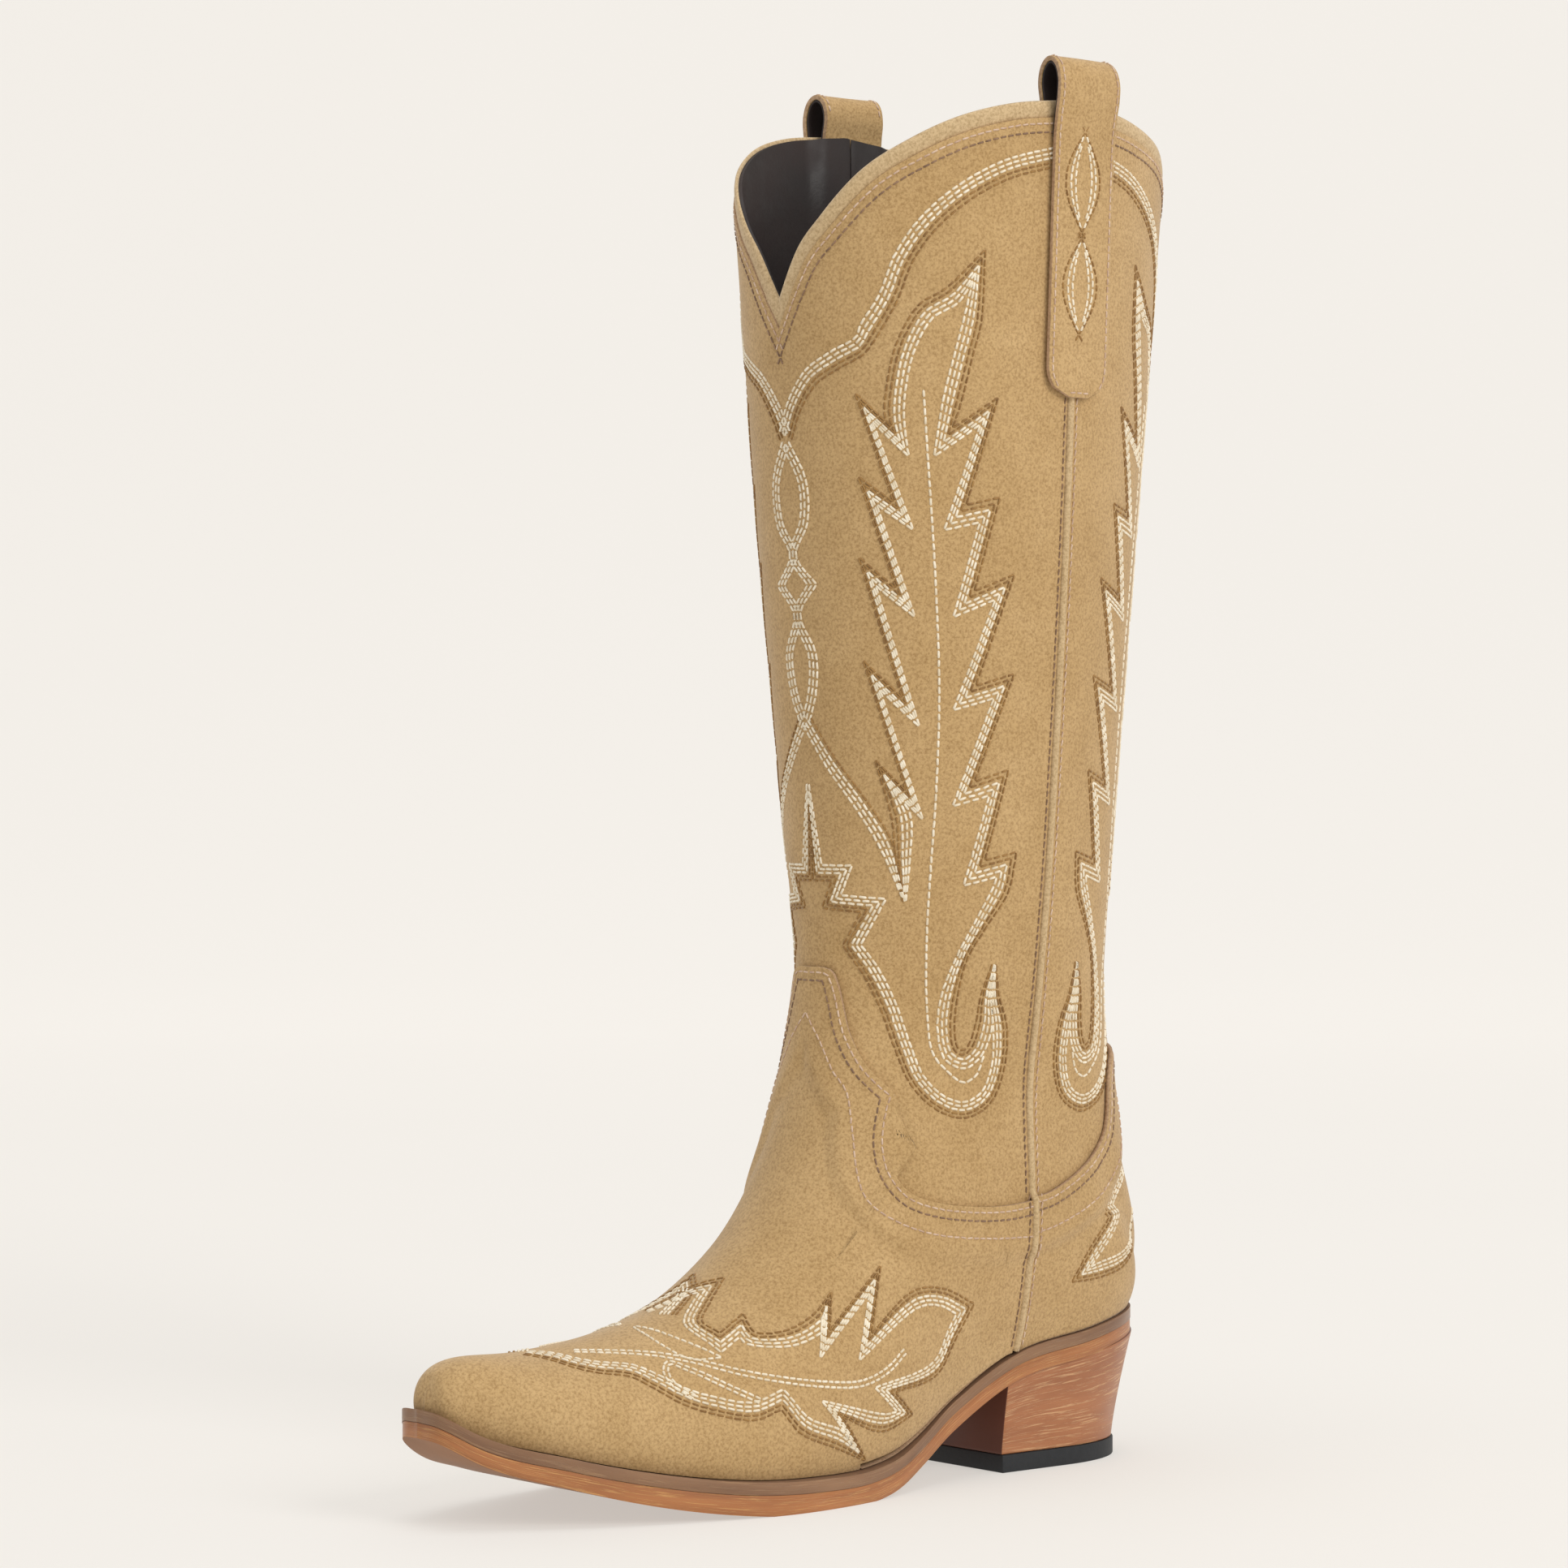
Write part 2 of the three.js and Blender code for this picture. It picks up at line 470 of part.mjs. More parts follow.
// Section numbers up one column: rows shared by all columns (`plain`), then rows as fractions of the way
// from `root` to the start of the lap, then `lap` rows counted in lap widths beyond it.
function columnSteps(plain, root, top, foot, rows, lap) {
  const start = liftStart(top, foot), width = Math.max(top - foot, 0.05);
  return [...plain, ...rows.map((k) => lerp(root, start, k)), ...lap.map((k) => start + k * width)];
}
// On the way up from FOOT_PLAIN the column at the side seam passes exactly through the point where the seam
// meets the feather line.
const FOOT_PLAIN = 5.9;
const FOOT_SEAM = (VAMP_ROOT_END - FOOT_PLAIN) / (liftStart(vampTop(1), shaftFoot(1)) - FOOT_PLAIN);
const FOOT_ROWS = [...ramp(0, FOOT_SEAM, 8).slice(1), 1];
const TOE_ROWS = [0, 0.4, 0.8, 1.2, 1.7, 2.2, 2.8, 3.4, 4, 4.6, 5.2, FOOT_PLAIN];
function footSheet(plain, rows, lap, gap, outer, inner, lifted) {
  const columns = mirror(FRONT_COLUMNS);
  const ts = columns.map((c) => columnSteps(plain, FOOT_PLAIN, vampTop(c), shaftFoot(c), rows, lap));
  return panel(ts[0].length, columns.length, (i, j) => {
    const c = columns[j], t = ts[j][i], up = lifted ? LIFT * lapLift(vampTop(c), shaftFoot(c), t) : 0;
    return [t, frontW(t, c, gap), outer + up, inner + up];
  });
}
const LINING_LAP = [0.3, 0.6, 0.9];
add('vamp', footSheet(TOE_ROWS, FOOT_ROWS, LAP_ROWS, SEAM_HALF, 0, -UPPER_THICK, true), SUEDE);
add('vamp_lining', footSheet(TOE_ROWS, FOOT_ROWS, LINING_LAP, SEAM_HALF, FOOT_LINING_OUT,
  FOOT_LINING_OUT - LINING_THICK), LINING);
add('toe_puff', footSheet(TOE_ROWS.slice(0, 6), [], [], SEAM_HALF, -INNER, -INNER - LINING_THICK), STIFFENER);

// Sheet round the heel between the side seams; two halves that join up the back. The rows pass exactly
// through the back of the heel seat.
const HEEL_START = liftStart(counterTop(1), backFoot(1));
const HEEL_SEAT = (HEEL_BACK - COUNTER_ROOT) / (HEEL_START - COUNTER_ROOT);
const HEEL_ROWS = [...ramp(0, HEEL_SEAT, 9), ...ramp(HEEL_SEAT, 1, 7).slice(1)];
function heelSheet(rows, lap, gap, outer, inner, lifted) {
  const pairs = [], triangles = [], n = BACK_COLUMNS.length;
  const ts = BACK_COLUMNS.map((d) => columnSteps([], COUNTER_ROOT, counterTop(d), backFoot(d), rows, lap));
  for (const side of [1, -1]) {
    const base = pairs.length;
    for (let i = 0; i < ts[0].length; i += 1) {
      BACK_COLUMNS.forEach((d, j) => {
        const t = ts[j][i], up = lifted ? LIFT * lapLift(counterTop(d), backFoot(d), t) : 0;
        const w = side * Math.min(backW(t, d, gap), 1);
        pairs.push([lean(offset(t, w, outer + up)), lean(offset(t, w, inner + up))]);
      });
    }
    for (let i = 0; i + 1 < ts[0].length; i += 1) {
      for (let j = 0; j + 1 < n; j += 1) {
        const a = base + i * n + j, b = a + 1, c = a + n, d = c + 1;
        triangles.push(...(side > 0 ? [[a, b, d], [a, d, c]] : [[a, d, b], [a, c, d]]));
      }
    }
  }
  return shell(pairs, triangles);
}
add('heel_counter', heelSheet(HEEL_ROWS, LAP_ROWS, SEAM_HALF, 0, -UPPER_THICK, true), SUEDE);
add('heel_lining', heelSheet(HEEL_ROWS, LINING_LAP, SEAM_HALF, FOOT_LINING_OUT, FOOT_LINING_OUT - LINING_THICK),
  LINING);
add('counter_stiffener', heelSheet(HEEL_ROWS.slice(0, 13), [], SEAM_HALF, -INNER, -INNER - LINING_THICK), STIFFENER);

// ---------------------------------------------------------------- bindings and beads
// Ring of points about a centre in the plane of two directions; `shape` lists [along a, along b].
const ringAt = (centre, a, b, shape) =>
  shape.map(([p, q]) => lean(centre.clone().addScaledVector(a, p).addScaledVector(b, q)));
const circle = (radius, n) => range(n, (i) =>
  [radius * Math.cos(2 * Math.PI * i / n), radius * Math.sin(2 * Math.PI * i / n)]);

// Rolled binding along the rim between two ways round; its section is a rounded bar hung from the rim.
function rimBinding(ways) {
  const drop = RIM_BIND_DROP - GAP;
  const shape = [[0.45, drop], [0.55, drop * 0.55], [0.4, 1], [-0.1, 0.2], [-0.8, 0], [-1.3, 0.6], [-1.4, drop]];
  return sweep(ways.map((w) => ringAt(rimPoint(w), normal(rimStep(w), w), rimDown(w), shape)));
}
const rimSeam = (back) => (back ? seamBack(RIM - 0.05, 0.3) : seamFront(RIM - 0.05, 0.3));
const frontWays = [0, 0.03, 0.06, 0.1, 0.15, 0.2, 0.26, 0.32, 0.38, 0.44, rimSeam(false)];
add('topline_binding_front', rimBinding(mirror(frontWays)), BINDING);
const backWays = [rimSeam(true), 0.56, 0.62, 0.68, 0.74, 0.8, 0.86, 0.91, 0.96, 1];
add('topline_binding_back', rimBinding([...backWays, ...backWays.slice(0, -1).reverse().map((w) => 2 - w)]), BINDING);

const STRAP_Z = SHAFT_TOP - STRAP_DROP;
for (const [name, side] of [['lateral', 1], ['medial', -1]]) {
  const low = surface(COUNTER_ROOT, 1).z + 2.5, high = STRAP_Z - 1;
  const lapLow = surface(8.33, seamAt(8.33)).z, lapHigh = surface(8.6, seamAt(8.6)).z;
  const heights = [...ramp(low, lapHigh + 12, 12),
    ...ramp(0, 1, 14).slice(1).map((k) => lerp(lapHigh + 12, high, k ** 1.4))];
  const rings = heights.map((z) => {
    const t = stepAtHeight(z, seamAt, 8), w = side * seamAt(t), n = normal(t, w);
    const lift = LIFT * smooth((z - lapLow + 9) / 7) * (1 - smooth((z - lapHigh - 1) / 6));
    return ringAt(offset(t, w, 0.1 + lift * 0.6), n, new THREE.Vector3(0, 1, 0), circle(SIDE_BEAD, 7));
  });
  add(`side_bead_${name}`, sweep(rings), BINDING);
}

// ---------------------------------------------------------------- pull straps
// Point over the outside of the leg at height z, position y and distance `off` from the surface; above
// the shaft top the surface is carried straight up.
function legPoint(z, y, off, side) {
  const zz = Math.min(z, SHAFT_TOP - 0.5);
  let t = stepAtHeight(zz, (s) => roundAtY(s, y), RIM - 3);
  const w = side * roundAtY(t, y);
  return offset(t, w, off).add(new THREE.Vector3(0, 0, z - zz));
}
// Course of the strap's inner face: [distance out from the leg, height over the rim].
const STRAP_PATH = [[0.3, -STRAP_DROP], [0.3, -STRAP_DROP * 0.75], [0.3, -STRAP_DROP * 0.5],
  [0.3, -STRAP_DROP * 0.28], [0.4, -12], [1, -5], [1.9, 1], [2.1, 0.45 * STRAP_RISE], [0.9, 0.75 * STRAP_RISE],
  [-1.6, 0.86 * STRAP_RISE], [-4.1, 0.7 * STRAP_RISE], [-5.2, 0.38 * STRAP_RISE], [-4.6, 0], [-3.9, -4], [-3.6, -9]];
function strapLayer(side, from, to, start, end) {
  const path = STRAP_PATH.slice(start, end);
  const columns = 5;
  const square = path.map((p, i) => {
    const a = path[Math.max(i - 1, 0)], b = path[Math.min(i + 1, path.length - 1)];
    const dx = b[0] - a[0], dz = b[1] - a[1], l = Math.hypot(dx, dz);
    return [dz / l, -dx / l];
  });
  return gridShell(path.length, columns, (i, j) => {
    const k = 2 * j / (columns - 1) - 1;
    const round = i === 0 && Math.abs(k) === 1 ? 5 : 0;
    const y = SEAM_Y + 1 + k * STRAP_WIDTH / 2;
    return [to, from].map((d) => lean(legPoint(SHAFT_TOP + path[i][1] + d * square[i][1] + round, y,
      path[i][0] + d * square[i][0], side)));
  });
}
for (const [name, side] of [['lateral', 1], ['medial', -1]]) {
  const inner = STRAP_LINING_THICK * 0.7;
  add(`pull_strap_${name}`, strapLayer(side, inner + GAP, inner + GAP + 1.6, 0, STRAP_PATH.length), SUEDE);
  add(`pull_strap_lining_${name}`, strapLayer(side, 0, inner, 4, STRAP_PATH.length), LINING);
}

// ---------------------------------------------------------------- sole unit
// Outline of the feather line in plan, moved out by `out`.
function outline(t, out) {
  const [x, y] = edgeAt(t);
  let nx, ny;
  if (t < 0.01) [nx, ny] = [0, -1];
  else if (t > HEEL_BACK - 0.01) [nx, ny] = [0, 1];
  else {
    const a = edgeAt(t - 0.01), b = edgeAt(Math.min(t + 0.01, HEEL_BACK));
    const l = Math.hypot(b[0] - a[0], b[1] - a[1]);
    [nx, ny] = [(b[1] - a[1]) / l, -(b[0] - a[0]) / l];
  }
  return [Math.max(x + nx * out, 0), y + ny * out];
}
const ledge = (t) => lerp(lerp(3, WELT_LEDGE, smooth(t / 2)), WELT_LEDGE_HEEL, smooth((t - 5.6) / 1.6));

// Plate spanning the outline moved out by out(t), between two heights given against y.
function plate(ts, columns, out, high, low) {
  return gridShell(ts.length, columns, (i, j) => {
    const [x, y] = outline(ts[i], out(ts[i])), k = 2 * j / (columns - 1) - 1;
    return [high, low].map((f) => lean(new THREE.Vector3(k * x, y, f(y))));
  });
}
const SOLE_STEPS = [0, 0.3, 0.6, 1, 1.5, 2, 2.5, 3, 3.5, 4, 4.5, 4.8, 5, 5.4, 5.8, 6.1, 6.4, 6.7, 7, 7.3, 7.6, 7.85, 8.1,
  8.5, 9, 9.5, 10, 10.3, 10.6, 10.8, 11];
const weltLow = (y) => featherZ(y) - SEAT_GAP - WELT_THICK;

// Welt: a ledge that runs right round under the upper.
{
  const stations = [...SOLE_STEPS.map((t) => [t, 1]), ...SOLE_STEPS.slice(1, -1).reverse().map((t) => [t, -1])];
  const section = [[-WELT_INSET, 0], [-2, 0], [-0.8, 0], [0, 0.9], [0, WELT_THICK], [-WELT_INSET, WELT_THICK]];
  const rings = stations.map(([t, side]) => section.map(([out, drop], i) => {
    const edge = ledge(t), d = i === 0 || i === 5 ? out : edge + (i === 1 ? out * 0.5 - 1 : out);
    const [x, y] = outline(t, d);
    return lean(new THREE.Vector3(side * x, y, featherZ(y) - SEAT_GAP - drop));
  }));
  add('welt', sweep(rings, true), WELT_MATERIAL);
}

const insoleOut = () => FOOT_LINING_OUT - LINING_THICK - 0.8;
const insoleTop = (y) => featherZ(y) + INSOLE_THICK;
const soleTop = (y) => weltLow(y) - GAP;

// Heel nails and a screw, driven from the inside through insole and outsole into the heel block.
const FASTENERS = [['heel_nail_1', 10, -18], ['heel_nail_2', -10, -18], ['heel_nail_3', 9, 12], ['heel_nail_4', -9, 12],
  ['heel_screw', 0, 0]];
function turned(profilePoints, x, y) {
  const g = new THREE.LatheGeometry(profilePoints.map(([r, z]) => new THREE.Vector2(r, z)), 12);
  g.rotateX(Math.PI / 2);
  g.translate(x, y * LENGTH_SCALE, 0);
  g.deleteAttribute('normal');
  g.deleteAttribute('uv');
  return outward(mergeVertices(g, 1e-4));
}
const fastenerTop = (y) => insoleTop(y * LENGTH_SCALE) - 0.8;
const fastenerTip = (name, y) => fastenerTop(y) - (name === 'heel_screw' ? 30 : 22);
const fastenerBody = ([name, x, y], grow) => {
  const r = (name === 'heel_screw' ? 1.8 : NAIL_RADIUS) + grow, top = fastenerTop(y), tip = fastenerTip(name, y);
  const head = (name === 'heel_screw' ? 3.6 : 2.6) + grow;
  const up = grow ? 4 : 0;
  return turned([[0, top + up], [head, top + up], [head, top - 0.8 - grow], [r, top - 0.8 - grow],
    [r, tip + 1.5], [0.4 + grow, tip - grow], [0, tip - grow]].reverse(), x, y);
};

const wasm = await Module();
wasm.setup();
const { Manifold, Mesh } = wasm;
function solid(geometry) {
  const g = mergeVertices(geometry, 1e-4);
  return new Manifold(new Mesh({ numProp: 3, vertProperties: new Float32Array(g.attributes.position.array),
    triVerts: new Uint32Array(g.index.array) }));
}
const bores = FASTENERS.map((f) => solid(fastenerBody(f, GAP)));
function bored(geometry) {
  let body = solid(geometry);
  for (const bore of bores) body = body.subtract(bore);
  const m = body.getMesh();
  const g = new THREE.BufferGeometry();
  g.setAttribute('position', new THREE.Float32BufferAttribute(m.vertProperties, 3));
  g.setIndex(Array.from(m.triVerts));
  return g;
}

add('insole_board', bored(plate(SOLE_STEPS, 5, insoleOut, insoleTop, featherZ)), BOARD);
add('sock_liner', plate(SOLE_STEPS, 5, () => insoleOut() - 0.3, (y) => insoleTop(y) + GAP + SOCK_THICK,
  (y) => insoleTop(y) + GAP), LINING);
add('outsole', bored(plate(SOLE_STEPS, 7, ledge, soleTop, (y) => Math.max(treadZ(y), 0))), SOLE);

const FILLER_STEPS = [0.3, 0.6, 1, 1.5, 2, 2.5, 3, 3.5, 4, 4.5, 5, 5.3];
add('cork_filler', plate(FILLER_STEPS, 5, () => -WELT_INSET - 0.5, (y) => featherZ(y) - SEAT_GAP, weltLow), CORK);

add('steel_shank', gridShell(14, 3, (i, j) => {
  const y = lerp(-108, -24, i / 13) * LENGTH_SCALE, half = 6.5 - 2 * Math.abs(2 * i / 13 - 1) ** 6;
  return [SEAT_GAP, SEAT_GAP + 1.3].map((d) => lean(new THREE.Vector3((j - 1) * half, y, featherZ(y) - d)));
}), STEEL);

// ---------------------------------------------------------------- heel
const HEEL_FRONT = -36 * LENGTH_SCALE, HEEL_TOP_BACK = edgeKnots[HEEL_BACK][1] + WELT_LEDGE_HEEL - 0.4;
const LIFT_BACK = 26 * LENGTH_SCALE, LIFT_HALF = 24.2;
// Half outline of the heel from breast to back at a level k (0 at the top lift, 1 under the sole).
function heelOutline(k, n = 14) {
  return range(n, (i) => {
    const s = Math.sin(Math.PI / 2 * i / (n - 1)), c = 1 - s;
    const round = Math.sqrt(Math.max(1 - (Math.max(s - 0.42, 0) / 0.58) ** 2.2, 0));
    const back = lerp(LIFT_BACK, HEEL_TOP_BACK, k ** 1.3);
    const half = lerp(LIFT_HALF, 26.6 * LEG_WIDTH, k ** 1.3) - 0.8 * c * (1 - k);
    return [half * round, lerp(HEEL_FRONT, back, s)];
  });
}
function stack(levels) {
  const n = levels[0].length, points = [], index = [];
  for (const level of levels) {
    for (const side of [1, -1]) for (const [x, y, z] of level) points.push(new THREE.Vector3(side * x, y, z));
  }
  const at = (l, side, i) => (l * 2 + (side > 0 ? 0 : 1)) * n + i;
  const quad = (a, b, c, d) => index.push(a, b, c, a, c, d);
  for (let l = 0; l + 1 < levels.length; l += 1) {
    for (let i = 0; i + 1 < n; i += 1) {
      quad(at(l, 1, i), at(l, 1, i + 1), at(l + 1, 1, i + 1), at(l + 1, 1, i));
      quad(at(l, -1, i + 1), at(l, -1, i), at(l + 1, -1, i), at(l + 1, -1, i + 1));
    }
    quad(at(l, -1, 0), at(l, 1, 0), at(l + 1, 1, 0), at(l + 1, -1, 0));
  }
  const top = levels.length - 1;
  for (let i = 0; i + 1 < n; i += 1) {
    quad(at(0, 1, i), at(0, -1, i), at(0, -1, i + 1), at(0, 1, i + 1));
    quad(at(top, 1, i + 1), at(top, -1, i + 1), at(top, -1, i), at(top, 1, i));
  }
  const geometry = new THREE.BufferGeometry();
  geometry.setAttribute('position', new THREE.Float32BufferAttribute(
    points.map(lean).flatMap((p) => [p.x, p.y, p.z]), 3));
  const kept = [];
  const same = (a, b) => points[a].distanceTo(points[b]) < 1e-4;
  for (let i = 0; i < index.length; i += 3) {
    const [a, b, c] = index.slice(i, i + 3);
    if (!same(a, b) && !same(b, c) && !same(a, c)) kept.push(a, b, c);
  }
  geometry.setIndex(kept);
  return outward(mergeVertices(geometry, 1e-4));
}
const heelUnder = (y) => Math.max(treadZ(y), 0) - SEAT_GAP;
add('heel_block', bored(stack([0, 0.25, 0.5, 0.75, 1].map((k) => heelOutline(k).map(([x, y]) =>
  [x, y, lerp(LIFT_THICK + GAP, heelUnder(y), k)])))), HEEL_STACK);
add('top_lift', stack([0, LIFT_THICK].map((z) => heelOutline(0).map(([x, y]) => [x, y, z]))), RUBBER);
for (const f of FASTENERS) add(f[0], fastenerBody(f, 0), STEEL);

export default boot;
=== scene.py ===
"""Looks of the cowboy boot: suede upper with thread embroidery, leather lining, stacked sole and heel.
Lengths are millimetres until new_object() turns them into metres; +Z up, the toe points to -Y."""

import math

import bmesh
import bpy
import numpy as np
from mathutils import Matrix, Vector, kdtree


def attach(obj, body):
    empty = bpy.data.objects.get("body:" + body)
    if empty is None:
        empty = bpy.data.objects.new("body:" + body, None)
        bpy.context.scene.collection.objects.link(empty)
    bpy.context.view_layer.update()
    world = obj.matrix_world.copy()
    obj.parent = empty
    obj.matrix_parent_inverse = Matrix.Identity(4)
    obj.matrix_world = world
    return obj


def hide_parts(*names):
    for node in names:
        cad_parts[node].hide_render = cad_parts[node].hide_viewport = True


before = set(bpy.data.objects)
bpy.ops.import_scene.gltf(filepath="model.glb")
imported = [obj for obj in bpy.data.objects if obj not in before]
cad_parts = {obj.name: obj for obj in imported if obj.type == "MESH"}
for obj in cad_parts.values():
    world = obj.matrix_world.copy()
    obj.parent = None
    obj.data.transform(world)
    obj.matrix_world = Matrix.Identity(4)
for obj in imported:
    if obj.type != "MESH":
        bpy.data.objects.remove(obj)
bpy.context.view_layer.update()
RANDOM = np.random.default_rng(7)

# ---------------------------------------------------------------- shape of the foot and the leg
MM = 0.001
SIDES = (("lateral", 1), ("medial", -1))
UPPER_THICK, LINING_GAP, LINING_THICK = 1.4, 0.45, 1.0
# Height of the leg at its sides, how far the rim drops in front and behind, how far the toe leans inwards.
SHAFT_TOP, NOTCH_DEPTH, BACK_DIP, TOE_LEAN = 420, 60, 42, 9
SEAM_Y, HEEL_BACK = -34, 11
FEATHER = [(-236, 36), (-225, 28.5), (-200, 20.3), (-175, 14.5), (-150, 10.8), (-125, 9.5), (-100, 9.8),
           (-85, 12.5), (-75, 16.5), (-60, 25), (-36, 36.5), (0, 42.5), (36, 48)]
TREAD = [(-236, 27.5), (-225, 20), (-200, 11.2), (-175, 4.8), (-150, .8), (-142, 0), (-100, 0), (-88, 2.2),
         (-75, 7.5), (-60, 16), (-36, 28), (0, 34), (36, 39.5)]
# Sections of the upper from the toe to the rim: ridge y, z; bulge; edge x, y, z (None: on the feather
# line); handle at the edge x, y, z.
SECTIONS = [
    (-230, 41, 0, 0, -231, None, 0, -1, 3), (-228, 45, 6, 8, -229, None, 2, -1, 8),
    (-219, 48, 10, 13, -220, None, 5, 0, 14), (-195, 48, 14, 24, -199, None, 6, 0, 18),
    (-165, 52, 18, 34, -168, None, 7, 0, 22), (-140, 61, 22, 40, -135, None, 8, 0, 28),
    (-118, 78, 26, 36, -101, None, 12, 0, 40), (-105, 98, 31, 28, -65, None, 18, 0, 50),
    (-97, 121, 36, 27, -31, None, 16, -4, 46), (-93, 139, 40, 25, 4, None, 16, -2, 38),
    (-92, 149, 43, 16, 25, None, 27, -4, 33), (-91.5, 158, 46, 0, 34, None, 42, 3, 27),
    (-91.5, 170, 49, 0, 34, 65, 43, 2, 16), (-92, 184, 51, 0, 24, 93, 47, 0, 6),
    (-93, 201, 54, 0, 16, 122, 51, 0, 0), (-95, 232, 58, 0, 17, 172, 58, 0, 0),
    (-101, 300, 67, 0, 26, 285, 67, 0, 0), (-111, 420, 75, 0, 39, 420, 75, 0, 0)]
RIM = len(SECTIONS) - 1
FRONT_DROP = [(0, 1), (.04, .78), (.09, .61), (.16, .4), (.24, .24), (.31, .13), (.39, .05), (.5, 0)]
REAR_DROP = [(.5, 0), (.64, .1), (.77, .27), (.88, .56), (1, 1)]


def lerp(a, b, k):
    return a + (b - a) * k


def floats(*values):
    return np.broadcast_arrays(*(np.asarray(v, float) for v in values))


def step_lengths(points):
    return np.linalg.norm(np.diff(points, axis=0), axis=1)


def running(steps):
    """Running total of the steps, from 0."""
    return np.concatenate([[0], np.cumsum(steps)])


def both_halves(half):
    """Places on both sides of the middle, from those on one side, which start at the middle."""
    return np.concatenate([-half[:0:-1], half])


def search_tree(points):
    tree = kdtree.KDTree(len(points))
    for index, point in enumerate(points):
        tree.insert(point, index)
    tree.balance()
    return tree


def smooth(x):
    k = np.clip(x, 0, 1)
    return k * k * (3 - 2 * k)


def through(knots, values, x):
    """Smooth curve through values at the given knots, read at x."""
    knots, values = np.asarray(knots, float), np.asarray(values, float)
    x = np.clip(np.asarray(x, float), knots[0], knots[-1])
    chord = np.diff(values, axis=0).T / np.diff(knots)
    h = np.diff(knots)
    slope = np.concatenate([chord[..., :1], (chord[..., :-1] * h[1:] + chord[..., 1:] * h[:-1])
                            / (h[1:] + h[:-1]), chord[..., -1:]], axis=-1).T
    i = np.clip(np.searchsorted(knots, x, side="right") - 1, 0, len(h) - 1)
    s = (x - knots[i]) / h[i]
    w0, w2 = 2 * s**3 - 3 * s * s + 1, -2 * s**3 + 3 * s * s
    w1, w3 = (s**3 - 2 * s * s + s) * h[i], (s**3 - s * s) * h[i]
    if values.ndim > 1:
        w0, w1, w2, w3 = (w[..., None] for w in (w0, w1, w2, w3))
    return w0 * values[i] + w1 * slope[i] + w2 * values[i + 1] + w3 * slope[i + 1]


def profile(points, x):
    return through([p[0] for p in points], [p[1] for p in points], x)


def feather_z(y):
    return profile(FEATHER, y)


def tread_z(y):
    return np.maximum(profile(TREAD, y), 0)


EDGE = np.array([(s[3], s[4], feather_z(s[4]) if s[5] is None else s[5]) for s in SECTIONS], float)
BODY = np.array([(s[0], s[1], s[2], *(EDGE[i] + s[6:9])) for i, s in enumerate(SECTIONS)], float)


def edge_at(t):
    t = np.clip(np.asarray(t, float), 0, RIM)
    foot = through(range(HEEL_BACK + 1), EDGE[:HEEL_BACK + 1], t)
    foot[..., 2] = feather_z(foot[..., 1])
    back = through(range(HEEL_BACK, RIM + 1), EDGE[HEEL_BACK:], t)
    return np.where((t < HEEL_BACK)[..., None], foot, back)


def section_point(t, v):
    b = through(range(RIM + 1), BODY, t)
    e, u = edge_at(t), 1 - v
    k0, k1, k2 = u**3 + 3 * u * u * v, 3 * u * v * v, v**3
    return np.stack([3 * u * u * v * b[..., 2] + k1 * b[..., 3] + k2 * e[..., 0],
                     k0 * b[..., 0] + k1 * b[..., 4] + k2 * e[..., 1],
                     k0 * b[..., 1] + k1 * b[..., 5] + k2 * e[..., 2]], axis=-1)


PER_STEP, ROUND_CELLS, FAN_REACH = 20, 32, 0.34


def make_lattice():
    """Points of the upper's outside, with one more row and column beyond each border."""
    t = np.arange(RIM * PER_STEP + 1)[:, None] / PER_STEP
    v = np.arange(ROUND_CELLS + 1)[None, :] / ROUND_CELLS
    body = FAN_REACH * smooth((t - 7.5) / 2) * (1 - smooth((t - 13.5) / 2))
    reach = lerp(body, np.clip((t - HEEL_BACK) / 6, 0, body), smooth((v - .45) / .55))
    weights = np.exp(-np.arange(-6, 7)**2 / 12)
    fan = [w * section_point(t + k * reach, v + 0 * t) for k, w in zip(range(-6, 7), weights)]
    grid = sum(fan) / weights.sum()
    mirror = np.array([-1, 1, 1])
    foot = (t < HEEL_BACK)[:, 0, None]
    last = np.where(foot, 2 * grid[:, -1] - grid[:, -2], mirror * grid[:, -2])
    grid = np.concatenate([(mirror * grid[:, 1])[:, None], grid, last[:, None]], axis=1)
    return np.concatenate([[2 * grid[0] - grid[1]], grid, [2 * grid[-1] - grid[-2]]])


LATTICE = make_lattice()


def cubic_weights(s):
    return [(-s + 2 * s * s - s**3) / 2, (2 - 5 * s * s + 3 * s**3) / 2, (s + 4 * s * s - 3 * s**3) / 2,
            (s**3 - s * s) / 2]


def fold(w):
    """Way round w as a share of the way from ridge to edge, and which side of the boot it is on."""
    over = np.where(np.abs(w) > 1, 2 - np.abs(w), np.abs(w))
    return over, np.where(w < 0, -1, 1) * np.where(np.abs(w) > 1, -1, 1)


def surface(t, w):
    """Outside of the upper in mm: t is the section number, w the way round (0 ridge, 1 edge)."""
    t, w = floats(t, w)
    over, side = fold(w)
    ti, vj = np.clip(t, 0, RIM) * PER_STEP, np.clip(over, 0, 1) * ROUND_CELLS
    i = np.minimum(ti.astype(int), RIM * PER_STEP - 1)
    j = np.minimum(vj.astype(int), ROUND_CELLS - 1)
    across, p = cubic_weights(vj - j), np.zeros(t.shape + (3,))
    for m, a in enumerate(cubic_weights(ti - i)):
        for n, b in enumerate(across):
            p += (a * b)[..., None] * LATTICE[i + m, j + n]
    p[..., 0] *= side
    return p


def unit(v):
    return v / np.maximum(np.linalg.norm(v, axis=-1, keepdims=True), 1e-9)


